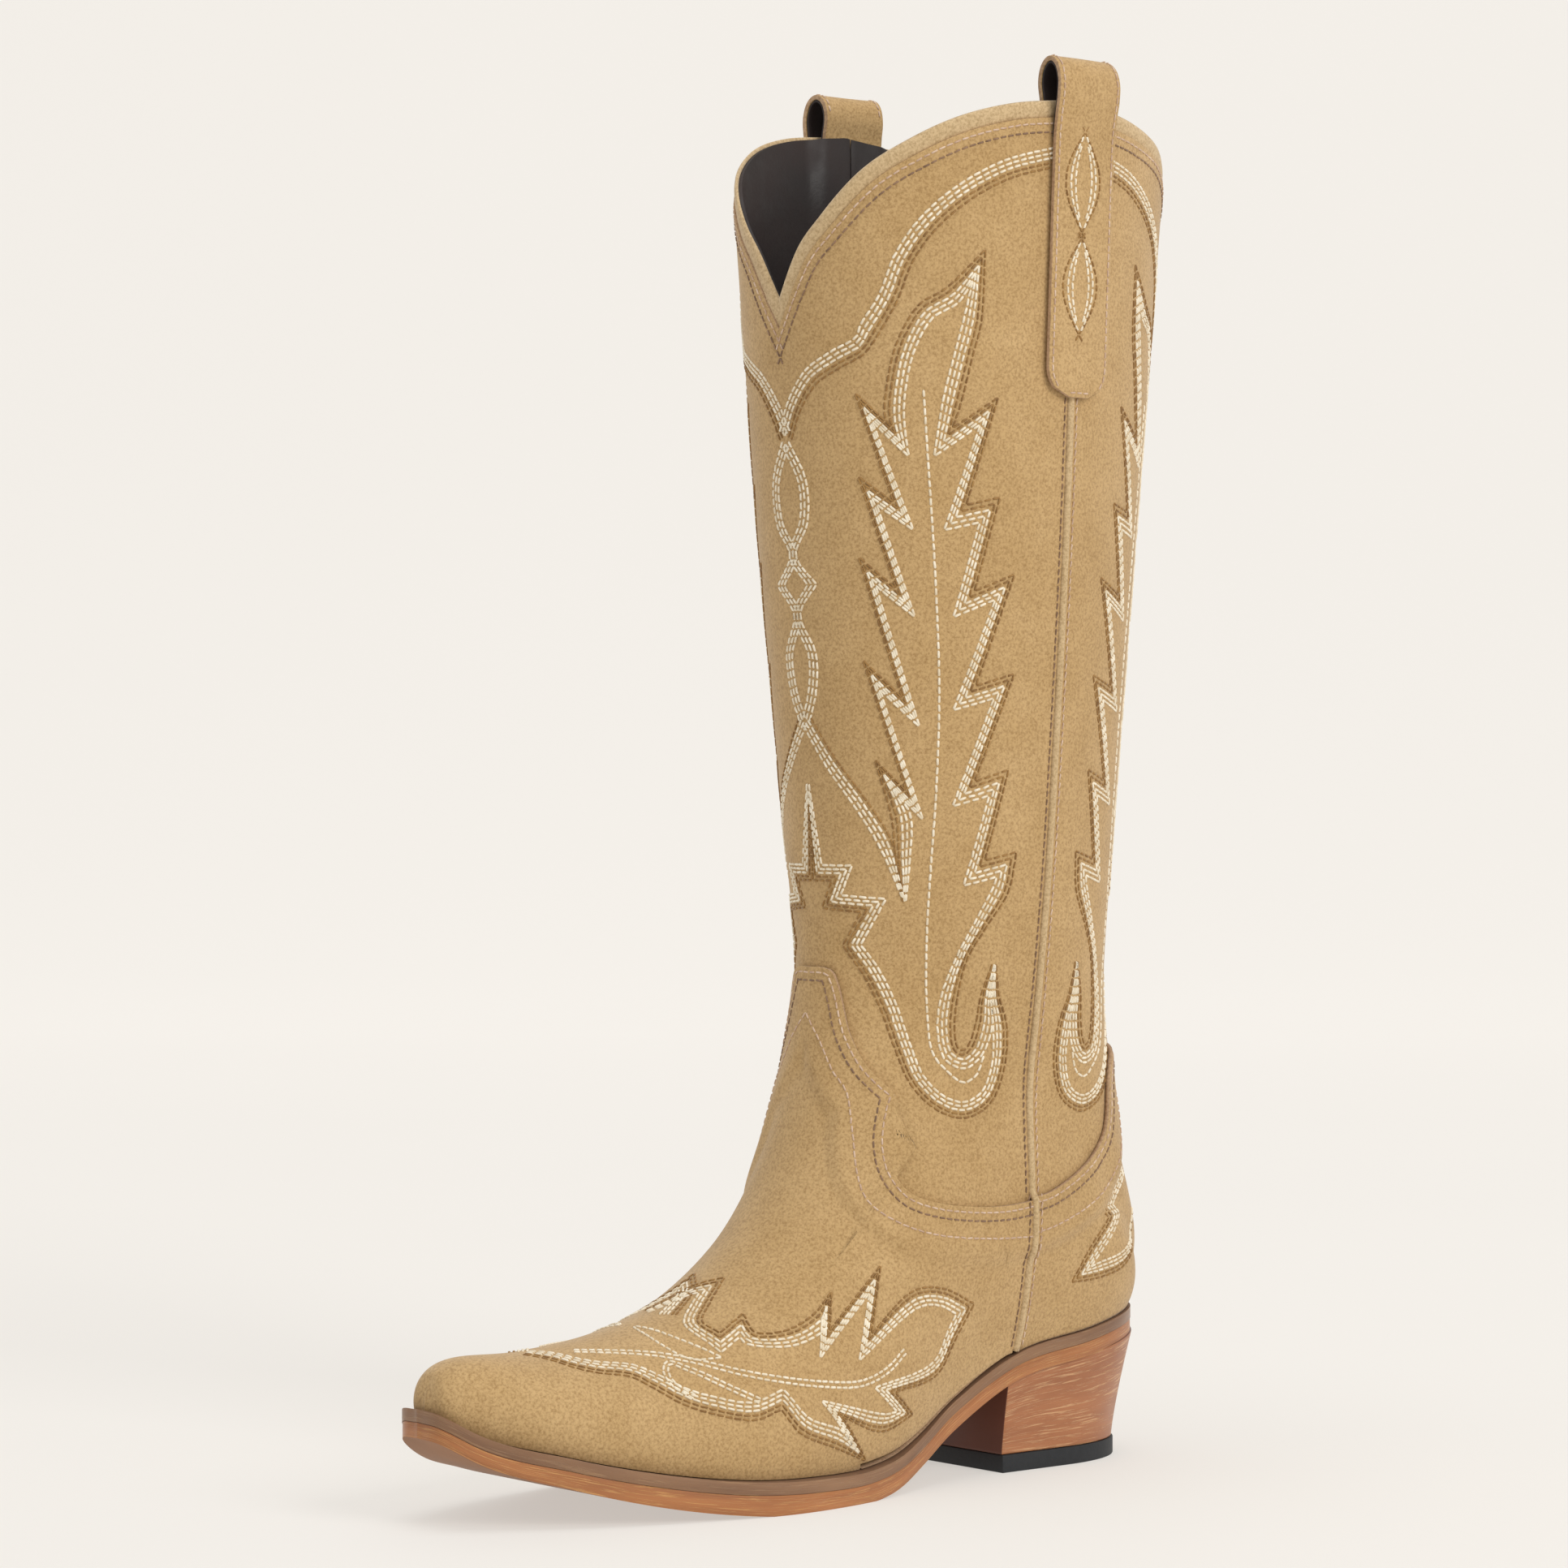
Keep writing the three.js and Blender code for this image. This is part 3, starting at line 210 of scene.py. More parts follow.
def normal(t, w):
    t, w = floats(t, w)
    over, side = fold(w)
    d = .02
    along = surface(np.minimum(t + d, RIM), over) - surface(np.maximum(t - d, 0), over)
    across = surface(t, np.minimum(over + d, 1)) - surface(t, np.maximum(over - d, 0))
    n = -np.cross(along, across)
    n[(over < .01) | (t < .01) | ((t >= HEEL_BACK) & (over > .99)), 0] = 0
    n = unit(n)
    n[..., 0] *= side
    return n


def lean(p):
    """The toe leans to the inner side of the foot."""
    p = np.array(p, float)
    p[..., 0] -= TOE_LEAN * np.clip((-60 - p[..., 1]) / 180, 0, 1)**1.5
    return p


def bisect(test, lo, hi, rounds=24):
    lo, hi = np.array(lo, float), np.array(hi, float)
    for _ in range(rounds):
        mid = (lo + hi) / 2
        below = test(mid)
        lo, hi = np.where(below, mid, lo), np.where(below, hi, mid)
    return (lo + hi) / 2


def round_at_y(t, y):
    t = np.asarray(t, float)
    w = bisect(lambda m: surface(t, m)[..., 1] < y, np.full(t.shape, .1), np.full(t.shape, 1.))
    return np.where(surface(t, np.ones(t.shape))[..., 1] < y, 1, w)


T_TABLE = np.linspace(0, RIM, 1701)
SEAM_TABLES = {}


def seam(t, ahead=0.0):
    """Way round of the side seam, or of the line that lies `ahead` mm behind it."""
    if ahead not in SEAM_TABLES:
        SEAM_TABLES[ahead] = round_at_y(T_TABLE, SEAM_Y + ahead)
    return np.interp(t, T_TABLE, SEAM_TABLES[ahead])


def step_at_height(z, w, low):
    z, w = floats(z, w)
    return bisect(lambda m: surface(m, w)[..., 2] < z, np.full(z.shape, float(low)),
                  np.full(z.shape, float(RIM)))


def rim_height(w):
    over = fold(np.asarray(w, float))[0]
    return SHAFT_TOP - np.where(over < .5, NOTCH_DEPTH * profile(FRONT_DROP, over),
                                BACK_DIP * profile(REAR_DROP, over))


W_TABLE = np.linspace(0, 1, 1201)
RIM_TABLE = step_at_height(rim_height(W_TABLE), W_TABLE, RIM - 2)


def rim_step(w):
    return np.interp(fold(np.asarray(w, float))[0], W_TABLE, RIM_TABLE)


def rim_point(w):
    return surface(rim_step(w), w)


def rim_down(w):
    e = .006
    w = np.asarray(w, float)
    mid = rim_point(w)
    before, after = unit(mid - rim_point(w - e)), unit(rim_point(w + e) - mid)
    along = unit(before + after)
    down = unit(np.cross(normal(rim_step(w), w), along))
    down *= np.where(down[..., 2:] > 0, -1, 1)
    mitre = np.sqrt(np.maximum((1 + (before * after).sum(-1)) / 2, .16))
    return down / mitre[..., None]


def shift(t, w, d):
    """Surface coordinates after a small step d (mm, in the surface) from t, w."""
    e = .01
    st = (surface(t, w) - surface(t - e, w)) / e
    sw = (surface(t, w + e) - surface(t, w - e)) / (2 * e)
    a, b, c = (st * st).sum(-1), (st * sw).sum(-1), (sw * sw).sum(-1)
    p, q = (st * d).sum(-1), (sw * d).sum(-1)
    det = a * c - b * b
    return t + (p * c - q * b) / det, w + (q * a - p * b) / det


def below_rim(w, distance):
    return shift(rim_step(w), w, rim_down(w) * distance)


# ---------------------------------------------------------------- pattern space of the leg
# u runs round the leg at one height: 0 on the front centre line, 1 on the side seam, 2 on the back seam,
# negative on the inner side; z is the height.
Z_ROWS = np.arange(54, 421, 2.0)
U_COLUMNS = np.linspace(0, 2, 161)


def make_pattern_table():
    w = np.linspace(0, 1, 161)
    table = np.zeros((len(Z_ROWS), len(U_COLUMNS), 2))
    t = step_at_height(Z_ROWS[:, None], w[None, :], 3)
    p = surface(t, w[None, :])
    length = np.concatenate([np.zeros((len(Z_ROWS), 1)),
                             np.cumsum(np.linalg.norm(np.diff(p, axis=1), axis=-1), 1)], 1)
    for i, row in enumerate(length):
        reached = p[i, :, 2] > Z_ROWS[i] - 1
        at_seam = np.interp(SEAM_Y, p[i, :, 1], row)
        u = np.where(row < at_seam, row / at_seam, 1 + (row - at_seam) / max(row[reached][-1] - at_seam, 1))
        table[i, :, 0] = np.interp(U_COLUMNS, u, t[i])
        table[i, :, 1] = np.interp(U_COLUMNS, u, w)
    return table


PATTERN = make_pattern_table()


def leg(u, z):
    """Surface coordinates t, w of the pattern point u, z."""
    u, z = np.asarray(u, float), np.asarray(z, float)
    side = np.where(u < 0, -1, 1)
    over = np.where(np.abs(u) > 2, 4 - np.abs(u), np.abs(u))
    side = side * np.where(np.abs(u) > 2, -1, 1)
    fi, fj = np.clip((z - Z_ROWS[0]) / 2, 0, len(Z_ROWS) - 1.001), np.clip(over * 80, 0, 159.999)
    i, j = fi.astype(int), fj.astype(int)
    a, b = (fi - i)[..., None], (fj - j)[..., None]
    tw = lerp(lerp(PATTERN[i, j], PATTERN[i, j + 1], b), lerp(PATTERN[i + 1, j], PATTERN[i + 1, j + 1], b), a)
    return tw[..., 0], tw[..., 1] * side


# ---------------------------------------------------------------- where the pieces of the upper meet
# Edges in the leg's pattern space u, z: the vamp's top, the front panel's foot under it, the counter's top
# and the back panel's foot under it.
VAMP_TOP = [(0, 157), (.06, 157), (.105, 156), (.135, 152), (.16, 146), (.2, 137), (.27, 128), (.34, 122.5),
            (.395, 118.5), (.39, 114), (.385, 109), (.39, 103), (.42, 96), (.49, 89.5), (.58, 86.5),
            (.73, 84.5), (.88, 84), (1, 85)]
SHAFT_FOOT = [(0, 143), (.08, 135), (.15, 126), (.22, 119), (.26, 108), (.3, 96), (.36, 87), (.48, 80.5),
              (.63, 76.5), (.83, 74.5), (1, 74)]
COUNTER_TOP = [(1, 86), (1.08, 87), (1.24, 92), (1.36, 97), (1.45, 104), (1.49, 111), (1.53, 121),
               (1.6, 127), (1.75, 130), (2, 131)]
BACK_FOOT = [(1, 75), (1.12, 77), (1.3, 82), (1.47, 89), (1.59, 98), (1.66, 108), (1.73, 116),
             (1.85, 119.5), (2, 120)]
SEAM_HALF, LIFT = 1.3, 1.75
LAP, LAP_FADE = 13.5, 6
INNER = UPPER_THICK + LINING_GAP
PANEL_DROP = 5.2


def feather_step(y):
    return float(bisect(lambda m: edge_at(m)[..., 1] < y, 0., float(HEEL_BACK)))


COUNTER_ROOT = feather_step(SEAM_Y + SEAM_HALF)


# front_w and back_w give the way round for a share of the width of a front or back piece, which stops
# `gap` mm from the side seam; front_c and back_d give the share.
def front_w(t, c, gap=SEAM_HALF):
    return c * seam(t, -gap)


def front_c(t, w, gap=SEAM_HALF):
    return w / seam(t, -gap)


def back_w(t, d, gap=SEAM_HALF):
    s = seam(t, gap)
    return s + (1 - s) * d


def back_d(t, w, gap=SEAM_HALF):
    s = seam(t, gap)
    return (w - s) / (1 - s)


def back_fold(d):
    return np.where(d > 1, 2 - d, d)


MM_PER_U = 60


class Edge:
    """Edge of a piece of the upper, drawn in pattern space; column() gives its surface point for a share of
    the piece's width. Shares follow the width by `closeness` and the length of the edge for the rest."""

    def __init__(self, points, share, closeness=.9):
        points = np.array(points, float)
        knots = running(np.sqrt(step_lengths(points * (MM_PER_U, 1))))
        line = through(knots, points, np.linspace(0, knots[-1], 500))
        self.t, self.w = leg(line[:, 0], line[:, 1])
        self.points = surface(self.t, self.w)
        self.normals = normal(self.t, self.w)
        length = running(step_lengths(self.points))
        own = share(self.t, self.w)
        own = np.maximum.accumulate((own - own[0]) / (own[-1] - own[0]))
        self.length = length / length[-1]
        self.share = closeness * own + (1 - closeness) * self.length

    def column(self, c):
        c = np.abs(np.asarray(c, float))
        return np.interp(c, self.share, self.t), np.interp(c, self.share, self.w)

    def columns(self, count):
        """Shares of the piece's width that lie evenly along the edge."""
        return np.interp(np.linspace(0, 1, count), self.length, self.share)

    def distance(self, points):
        tree = search_tree(self.points)
        flat = points.reshape(-1, 3).copy()
        flat[:, 0] = np.abs(flat[:, 0])
        return np.array([tree.find(p)[2] for p in flat]).reshape(points.shape[:-1])


VAMP_EDGE, FOOT_EDGE = Edge(VAMP_TOP, front_c), Edge(SHAFT_FOOT, front_c, 1)
COUNTER_EDGE, BACK_EDGE = Edge(COUNTER_TOP, back_d, .6), Edge(BACK_FOOT, back_d, 1)


def lap_lift(edge, t, w):
    """How far a piece stands off the surface near its edge, where it laps over the panel behind."""
    return LIFT * (1 - smooth((edge.distance(surface(t, w)) - LAP) / LAP_FADE))


# ---------------------------------------------------------------- meshes
def grid_faces(rows, columns, base=0, flip=False):
    i, j = np.meshgrid(np.arange(rows - 1), np.arange(columns - 1), indexing="ij")
    a = (base + i * columns + j).ravel()
    quad = np.stack([a, a + 1, a + columns + 1, a + columns], axis=1)
    return quad[:, ::-1] if flip else quad


def new_object(name, points, faces, materials, edge_faces=0, levels=None, bevel=0.0, stands_for=()):
    """Mesh object from points in mm. The last edge_faces faces take the second material."""
    mesh = bpy.data.meshes.new(name)
    if isinstance(faces, np.ndarray):
        faces = faces.tolist()
    mesh.from_pydata((np.asarray(points) * MM).tolist(), [], faces)
    for m in materials:
        mesh.materials.append(m)
    mesh.polygons.foreach_set("use_smooth", [True] * len(mesh.polygons))
    if edge_faces:
        index = np.zeros(len(mesh.polygons), int)
        index[-edge_faces:] = 1
        mesh.polygons.foreach_set("material_index", index)
    if levels is not None:
        level = mesh.attributes.new("level", "FLOAT", "POINT")
        level.data.foreach_set("value", np.asarray(levels, np.float32))
    mesh.update()
    obj = bpy.data.objects.new(name, mesh)
    bpy.context.scene.collection.objects.link(obj)
    if bevel:
        b = obj.modifiers.new("Round", "BEVEL")
        b.width, b.segments, b.limit_method, b.angle_limit = bevel * MM, 2, "ANGLE", math.radians(50)
    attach(obj, "root")
    if stands_for:
        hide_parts(*stands_for)
    return obj


def change(obj, operation):
    """Does one bmesh operation on an object's mesh."""
    bm = bmesh.new()
    bm.from_mesh(obj.data)
    operation(bm)
    bm.to_mesh(obj.data)
    bm.free()
    return obj


def weld(bm):
    bmesh.ops.remove_doubles(bm, verts=bm.verts, dist=.02 * MM)


def slab(name, upper, lower, materials, slot, bevel=.35, stands_for=(), levels=False):
    """Closed sheet between two matching grids of points, upper on the outside; welded if it has no bevel."""
    rows, columns = upper.shape[:2]
    n = rows * columns
    faces = [grid_faces(rows, columns), grid_faces(rows, columns, n, True)]
    i, j = np.arange(rows - 1) * columns, np.arange(columns - 1)
    last = (rows - 1) * columns
    e = columns - 1
    walls = [(j + 1, j, n + j, n + j + 1), (last + j, last + j + 1, n + last + j + 1, n + last + j),
             (i, i + columns, n + i + columns, n + i),
             (i + e + columns, i + e, n + i + e, n + i + e + columns)]
    walls = np.concatenate([np.stack(wall, 1) for wall in walls])
    points = lean(np.concatenate([upper.reshape(-1, 3), lower.reshape(-1, 3)]))
    obj = new_object(name, points, np.concatenate(faces + [walls]), materials,
                     len(walls) if len(materials) > 1 else 0,
                     np.repeat([1., 0.], n) if levels else None, bevel, stands_for)
    return obj if bevel else change(obj, weld)


def sheet(name, t, w, outer, inner, materials, slot, **extra):
    """Piece of the upper over the surface points t, w, between two offsets from the surface."""
    p, n = surface(t, w), normal(t, w)
    outer, inner = (np.broadcast_to(np.asarray(o, float), t.shape)[..., None] for o in (outer, inner))
    return slab(name, p + n * outer, p + n * inner, materials, slot, **extra)


def ring_sweep(name, rings, stands_for):
    """Bar of binding suede through closed rings of points, with closed ends."""
    n, m = rings.shape[:2]
    i = np.arange(n - 1)[:, None] * m
    j = np.arange(m)[None, :]
    after = (j + 1) % m
    quads = np.stack([i + j, i + after, i + m + after, i + m + j], -1).reshape(-1, 4)
    faces = quads.tolist() + [list(range(m))[::-1], [(n - 1) * m + k for k in range(m)]]
    obj = new_object(name, lean(rings.reshape(-1, 3)), faces, [BINDING],
                     stands_for=stands_for)
    return change(obj, lambda bm: bmesh.ops.recalc_face_normals(bm, faces=bm.faces))


def uneven(count, power):
    return np.linspace(0, 1, count)**power


# Columns round the front; closer together where the tongue's tip turns.
half = np.unique(np.concatenate([np.linspace(0, 1, 66), np.linspace(.06, .15, 16)]))
FRONT = both_halves(half)
BACK = np.linspace(0, 2, 121)


def panel_grid(columns, way, share, foot, rows, drop, gap, fold_side):
    """Surface points of a leg panel from its foot edge to a line `drop` mm below the rim."""
    half_way = fold_side(columns)
    t1, w1 = below_rim(way(RIM - .3, half_way, gap), drop)
    c1 = np.where(half_way == 1, 1, share(t1, w1, gap)) if way is front_w else share(t1, w1, gap)
    foot_t, foot_w = foot.column(half_way)
    k = uneven(rows, 1.1)[:, None]
    t = lerp(foot_t, t1, k)
    c = lerp(half_way, np.where(np.isin(half_way, (0, 1)), half_way, c1), smooth((k - .5) * 2))
    w = way(t, c, gap) + (foot_w - way(foot_t, half_way, gap)) * (1 - smooth(k * 2.2))
    return t, w


def front_grid(rows, drop, gap=SEAM_HALF):
    t, w = panel_grid(FRONT, front_w, front_c, FOOT_EDGE, rows, drop, gap, np.abs)
    return t, w * np.sign(FRONT)


def back_grid(rows, drop, gap=SEAM_HALF):
    t, w = panel_grid(BACK, back_w, back_d, BACK_EDGE, rows, drop, gap, back_fold)
    return t, np.where(BACK > 1, 2 - w, w)


# ---------------------------------------------------------------- materials
def srgb(r, g, b):
    return tuple(((c / 255 + .055) / 1.055)**2.4 if c > 10 else c / 3294 for c in (r, g, b)) + (1,)


class Nodes:
    """Small helper round one material's node tree."""

    def __init__(self, name, roughness, specular=.3, sheen=0., metallic=0., coat=0.):
        self.material = bpy.data.materials.new(name)
        self.material.use_nodes = True
        self.tree = self.material.node_tree
        self.shader = self.tree.nodes["Principled BSDF"]
        for socket, value in {"Roughness": roughness, "Specular IOR Level": specular, "Sheen Weight": sheen,
                              "Sheen Roughness": .5, "Metallic": metallic, "Coat Weight": coat}.items():
            self.shader.inputs[socket].default_value = value
        self.where = self.new("ShaderNodeTexCoord").outputs["Object"]
        self.height = None

    def new(self, kind, **values):
        node = self.tree.nodes.new(kind)
        for key, value in values.items():
            setattr(node, key, value)
        return node

    def link(self, a, b):
        self.tree.links.new(a, b)

    def noise(self, scale, detail=3., stretch=None, where=None, rough=.55):
        """Noise with features of about 1/scale metres, in [0, 1]."""
        where = where or self.where
        if stretch:
            mapping = self.new("ShaderNodeMapping")
            mapping.inputs["Scale"].default_value = stretch
            self.link(where, mapping.inputs["Vector"])
            where = mapping.outputs["Vector"]
        node = self.new("ShaderNodeTexNoise")
        node.inputs["Scale"].default_value = scale
        node.inputs["Detail"].default_value = detail
        node.inputs["Roughness"].default_value = rough
        self.link(where, node.inputs["Vector"])
        return node.outputs["Fac"]

    def ramp(self, value, *stops):
        node = self.new("ShaderNodeValToRGB")
        elements = node.color_ramp.elements
        while len(elements) < len(stops):
            elements.new(.5)
        for element, (position, color) in zip(elements, stops):
            element.position, element.color = position, color
        self.link(value, node.inputs["Fac"])
        return node.outputs["Color"]

    def mix(self, a, b, factor, blend="MIX"):
        node = self.new("ShaderNodeMix", data_type="RGBA", blend_type=blend)
        for socket, value in ((node.inputs[0], factor), (node.inputs[6], a), (node.inputs[7], b)):
            if isinstance(value, (int, float, tuple)):
                socket.default_value = value
            else:
                self.link(value, socket)
        return node.outputs[2]

    def math(self, operation, a, b=0.):
        node = self.new("ShaderNodeMath", operation=operation)
        for socket, value in zip(node.inputs, (a, b)):
            if isinstance(value, (int, float)):
                socket.default_value = value
            else:
                self.link(value, socket)
        return node.outputs[0]

    def color(self, value):
        if isinstance(value, tuple):
            self.shader.inputs["Base Color"].default_value = value
        else:
            self.link(value, self.shader.inputs["Base Color"])

    def roughness(self, value):
        self.link(value, self.shader.inputs["Roughness"])

    def bump(self, value, distance, strength=1.):
        """Raises the surface by value times distance mm, on top of earlier bumps."""
        node = self.new("ShaderNodeBump")
        node.inputs["Distance"].default_value = distance * MM
        node.inputs["Strength"].default_value = strength
        self.link(value, node.inputs["Height"])
        if self.height:
            self.link(self.height, node.inputs["Normal"])
        self.height = node.outputs["Normal"]
        self.link(self.height, self.shader.inputs["Normal"])

    def attribute(self, name):
        return self.new("ShaderNodeAttribute", attribute_name=name).outputs["Fac"]


def suede(name, light, dark, sheen=.25):
    m = Nodes(name, .95, .12, sheen)
    fine, grain = m.noise(2600, 3), m.noise(1150, 4, rough=.7)
    patches, wide = m.noise(70, 4), m.noise(16, 3)
    mottled = m.math("ADD", m.math("MULTIPLY", patches, .5), m.math("MULTIPLY", wide, .5))
    base = m.ramp(mottled, (.3, dark), (.7, light))
    speckled = m.ramp(grain, (.34, (.58, .52, .44, 1)), (.58, (1, 1, 1, 1)))
    m.color(m.mix(base, speckled, .8, "MULTIPLY"))
    m.bump(m.noise(22, 2), .8, .3)
    m.bump(grain, .18, .5)
    m.bump(fine, .1, .5)
    return m.material


def leather(name, light, dark, roughness=.45):
    m = Nodes(name, roughness, .4)
    m.color(m.ramp(m.noise(45, 4), (.35, dark), (.65, light)))
    m.roughness(m.ramp(m.noise(90, 3), (.3, (roughness - .1,) * 3 + (1,)),
                       (.7, (roughness + .15,) * 3 + (1,))))
    m.bump(m.noise(260, 4, rough=.7), .3, .5)
    m.bump(m.noise(30, 3), 1.2, .4)
    return m.material


def thread(name, light, dark):
    m = Nodes(name, .5, .4, .15)
    m.color(m.ramp(m.noise(300, 2), (.35, dark), (.65, light)))
    m.bump(m.noise(2600, 1), .1, .5)
    return m.material


def plain(name, color, roughness, metallic=0., grain=300, spread=.85):
    m = Nodes(name, roughness, .35, metallic=metallic)
    darker = tuple(c * spread for c in color[:3]) + (1,)
    m.color(m.ramp(m.noise(grain, 3), (.35, darker), (.65, color)))
    m.bump(m.noise(grain * 2, 3), .15, .4)
    return m.material


SUEDE = suede("suede", srgb(208, 175, 126), srgb(190, 156, 106))
CUT = suede("suede_cut_edge", srgb(204, 174, 142), srgb(178, 146, 116), .1)
BINDING = suede("binding_suede", srgb(216, 190, 150), srgb(204, 176, 132))
LINING = leather("lining_leather", srgb(52, 41, 39), srgb(38, 31, 30), .58)
CREAM = thread("thread_cream", srgb(250, 240, 218), srgb(228, 212, 182))
BROWN = thread("thread_brown", srgb(164, 124, 66), srgb(136, 98, 48))
ROSE = thread("thread_rose", srgb(222, 196, 172), srgb(190, 158, 132))
DARK = thread("thread_dark", srgb(148, 116, 88), srgb(120, 92, 70))


def wood(name, base, dark, streak, along, weight=.6):
    """Stacked-leather finish: thin light streaks that keep to the layers, which `level` counts."""
    m = Nodes(name, .42, .45, coat=.15)
    where = m.new("ShaderNodeCombineXYZ")
    split = m.new("ShaderNodeSeparateXYZ")
    m.link(m.where, split.inputs[0])
    level = m.attribute("level")
    m.link(split.outputs[0], where.inputs[0])
    m.link(split.outputs[1], where.inputs[1])
    m.link(m.math("MULTIPLY", level, along), where.inputs[2])
    position = where.outputs[0]
    body = m.ramp(m.noise(1, 4, (22, 22, 160), position), (.3, dark), (.7, base))
    fine = m.ramp(m.noise(1, 5, (70, 70, 1500), position, .7), (.53, (0, 0, 0, 1)), (.62, (1, 1, 1, 1)))
    m.color(m.mix(body, streak, m.math("MULTIPLY", fine, weight)))
    m.bump(fine, .12, .5)
    m.roughness(m.ramp(m.noise(60, 3), (.3, (.32,) * 3 + (1,)), (.7, (.55,) * 3 + (1,))))
    return m.material


SOLE_SIDE = wood("sole_side", srgb(184, 120, 70), srgb(152, 94, 54), srgb(236, 182, 112), .012, .5)
HEEL_SIDE = wood("heel_side", srgb(180, 118, 76), srgb(154, 96, 60), srgb(236, 190, 140), .034, .55)
HEEL_BREAST = plain("heel_breast", srgb(98, 56, 42), .35, grain=40, spread=.8)
WELT_SIDE = wood("welt_side", srgb(150, 112, 80), srgb(118, 84, 60), srgb(176, 138, 100), .004, .4)
WELT_TOP = plain("welt_top", srgb(128, 98, 76), .6)
RUBBER = plain("top_lift_rubber", srgb(42, 44, 47), .6, grain=500)
SOLE_UNDER = plain("sole_under", srgb(150, 104, 68), .55, grain=60)

# ---------------------------------------------------------------- leg and foot panels
STRAP_Y = SEAM_Y + 1
# Room for the end of a strap: its depth, half its width, the fade beside it, how far below the rim it
# starts and over what height it deepens.
STRAP_ROOM, ROOM_HALF, ROOM_FADE, ROOM_START, ROOM_RISE = 3.3, 11.5, 7, 45, 32


def strap_bulge(t, w):
    """Room that the lining leaves for the ends of the pull straps, below the rim at the sides."""
    p = surface(t, w)
    beside = 1 - smooth((np.abs(p[..., 1] - STRAP_Y) - ROOM_HALF) / ROOM_FADE)
    return STRAP_ROOM * beside * smooth((p[..., 2] - SHAFT_TOP + ROOM_START) / ROOM_RISE)


LINING_SEAM, LINING_DROP = .2, 1.1
PANELS = (("front", front_grid), ("back", back_grid))
for name, grid in PANELS:
    t, w = grid(116, PANEL_DROP)
    sheet(f"leg_{name}", t, w, 0, -UPPER_THICK, [SUEDE, CUT], "suede", stands_for=[f"shaft_{name}_panel"])
for name, grid in PANELS:
    t, w = grid(56, LINING_DROP, LINING_SEAM)
    face = -INNER - strap_bulge(t, w)
    sheet(f"leg_lining_{name}", t, w, face, face - LINING_THICK, [LINING], "lining", bevel=.3,
          stands_for=[f"shaft_{name}_lining"])

# The vamp's rows are level up to this section, and from there they turn towards its edge.
TOE_TURN = 5.9
c = both_halves(VAMP_EDGE.columns(112))
k = np.linspace(0, 1, 90)[1:, None]
edge_t, edge_w = VAMP_EDGE.column(c)
edge_w = edge_w * np.sign(c)
plain_rows = np.concatenate([uneven(14, 1.6) * .5, np.linspace(.5, TOE_TURN, 49)[1:]])[:, None] + 0 * c
t = np.concatenate([plain_rows, lerp(TOE_TURN, edge_t, k)])
pull = np.concatenate([0 * plain_rows, smooth(k) + 0 * c])
w = front_w(t, c) + (edge_w - front_w(edge_t, c)) * pull
lift = lap_lift(VAMP_EDGE, t, w)
sheet("vamp_suede", t, w, lift, lift - UPPER_THICK, [SUEDE, CUT], "suede", stands_for=["vamp"])

HALF_BACK = np.linspace(0, 1, 61)
edge_t, edge_w = COUNTER_EDGE.column(HALF_BACK)
seat = (HEEL_BACK - COUNTER_ROOT) / (edge_t[-1] - COUNTER_ROOT)
k = np.concatenate([np.linspace(0, seat, 40), np.linspace(seat, 1, 46)[1:]])[:, None]
t = lerp(COUNTER_ROOT, edge_t, k)
w = back_w(t, HALF_BACK) + (edge_w - back_w(edge_t, HALF_BACK)) * smooth(k)
w[:, -1] = 1
lift = lap_lift(COUNTER_EDGE, t, w)
for name, side in SIDES:
    tt, ww, ll = (x[:, ::side] for x in (t, w, lift))
    sheet(f"counter_suede_{name}", tt, side * ww, ll, ll - UPPER_THICK, [SUEDE, CUT], "suede", bevel=0,
          stands_for=["heel_counter"] if side > 0 else ())

# ---------------------------------------------------------------- rim binding and side beads
def hang(centre, a, b, shape):
    """Rings of points round the centres, one for each; shape is given along the directions a and b."""
    return centre[:, None] + shape[None, :, :1] * a[:, None] + shape[None, :, 1:] * b[:, None]


def binding(name, ways, node):
    """Strip folded over the rim; its section is given as distance out and depth below the rim."""
    drop = PANEL_DROP + .6
    shape = np.array([(-.95, drop), (-.62, drop * .8), (-.4, drop * .55), (-.4, drop * .32), (-.7, .55),
                      (-1.3, .05), (-1.6, .3), (-1.78, 1.1), (-1.8, 2.4), (-1.8, drop * .8), (-1.6, drop)])
    rings = hang(rim_point(ways), normal(rim_step(ways), ways), rim_down(ways), shape)
    return ring_sweep(name, rings, [node])


end_front, end_back = float(seam(RIM - .05, -.25)), float(seam(RIM - .05, .25))
binding("binding_front", both_halves(np.linspace(0, end_front, 150)), "topline_binding_front")
arc = np.linspace(end_back, 1, 110)
binding("binding_back", np.concatenate([arc, (2 - arc[:-1])[::-1]]), "topline_binding_back")

SEAM_LOW, SEAM_HIGH = float(edge_at(np.array(COUNTER_ROOT))[2]) + .6, 336
BEAD = 1.25


def seam_line(z, ahead=0.):
    """t, w of the side seam at height z, or of the line `ahead` mm behind it."""
    t = bisect(lambda m: surface(m, seam(m, ahead))[..., 2] < z, np.full(z.shape, COUNTER_ROOT - .2),
               np.full(z.shape, RIM))
    return t, seam(t, ahead)


# Heights between which the seam runs over the foot's pieces, which stand off the surface, with the fades.
LAP_LOW, LAP_LOW_FADE, LAP_HIGH, LAP_HIGH_FADE = 65, 6, 85, 3


def seam_lift(z):
    return LIFT * smooth((z - LAP_LOW) / LAP_LOW_FADE) * (1 - smooth((z - LAP_HIGH) / LAP_HIGH_FADE))


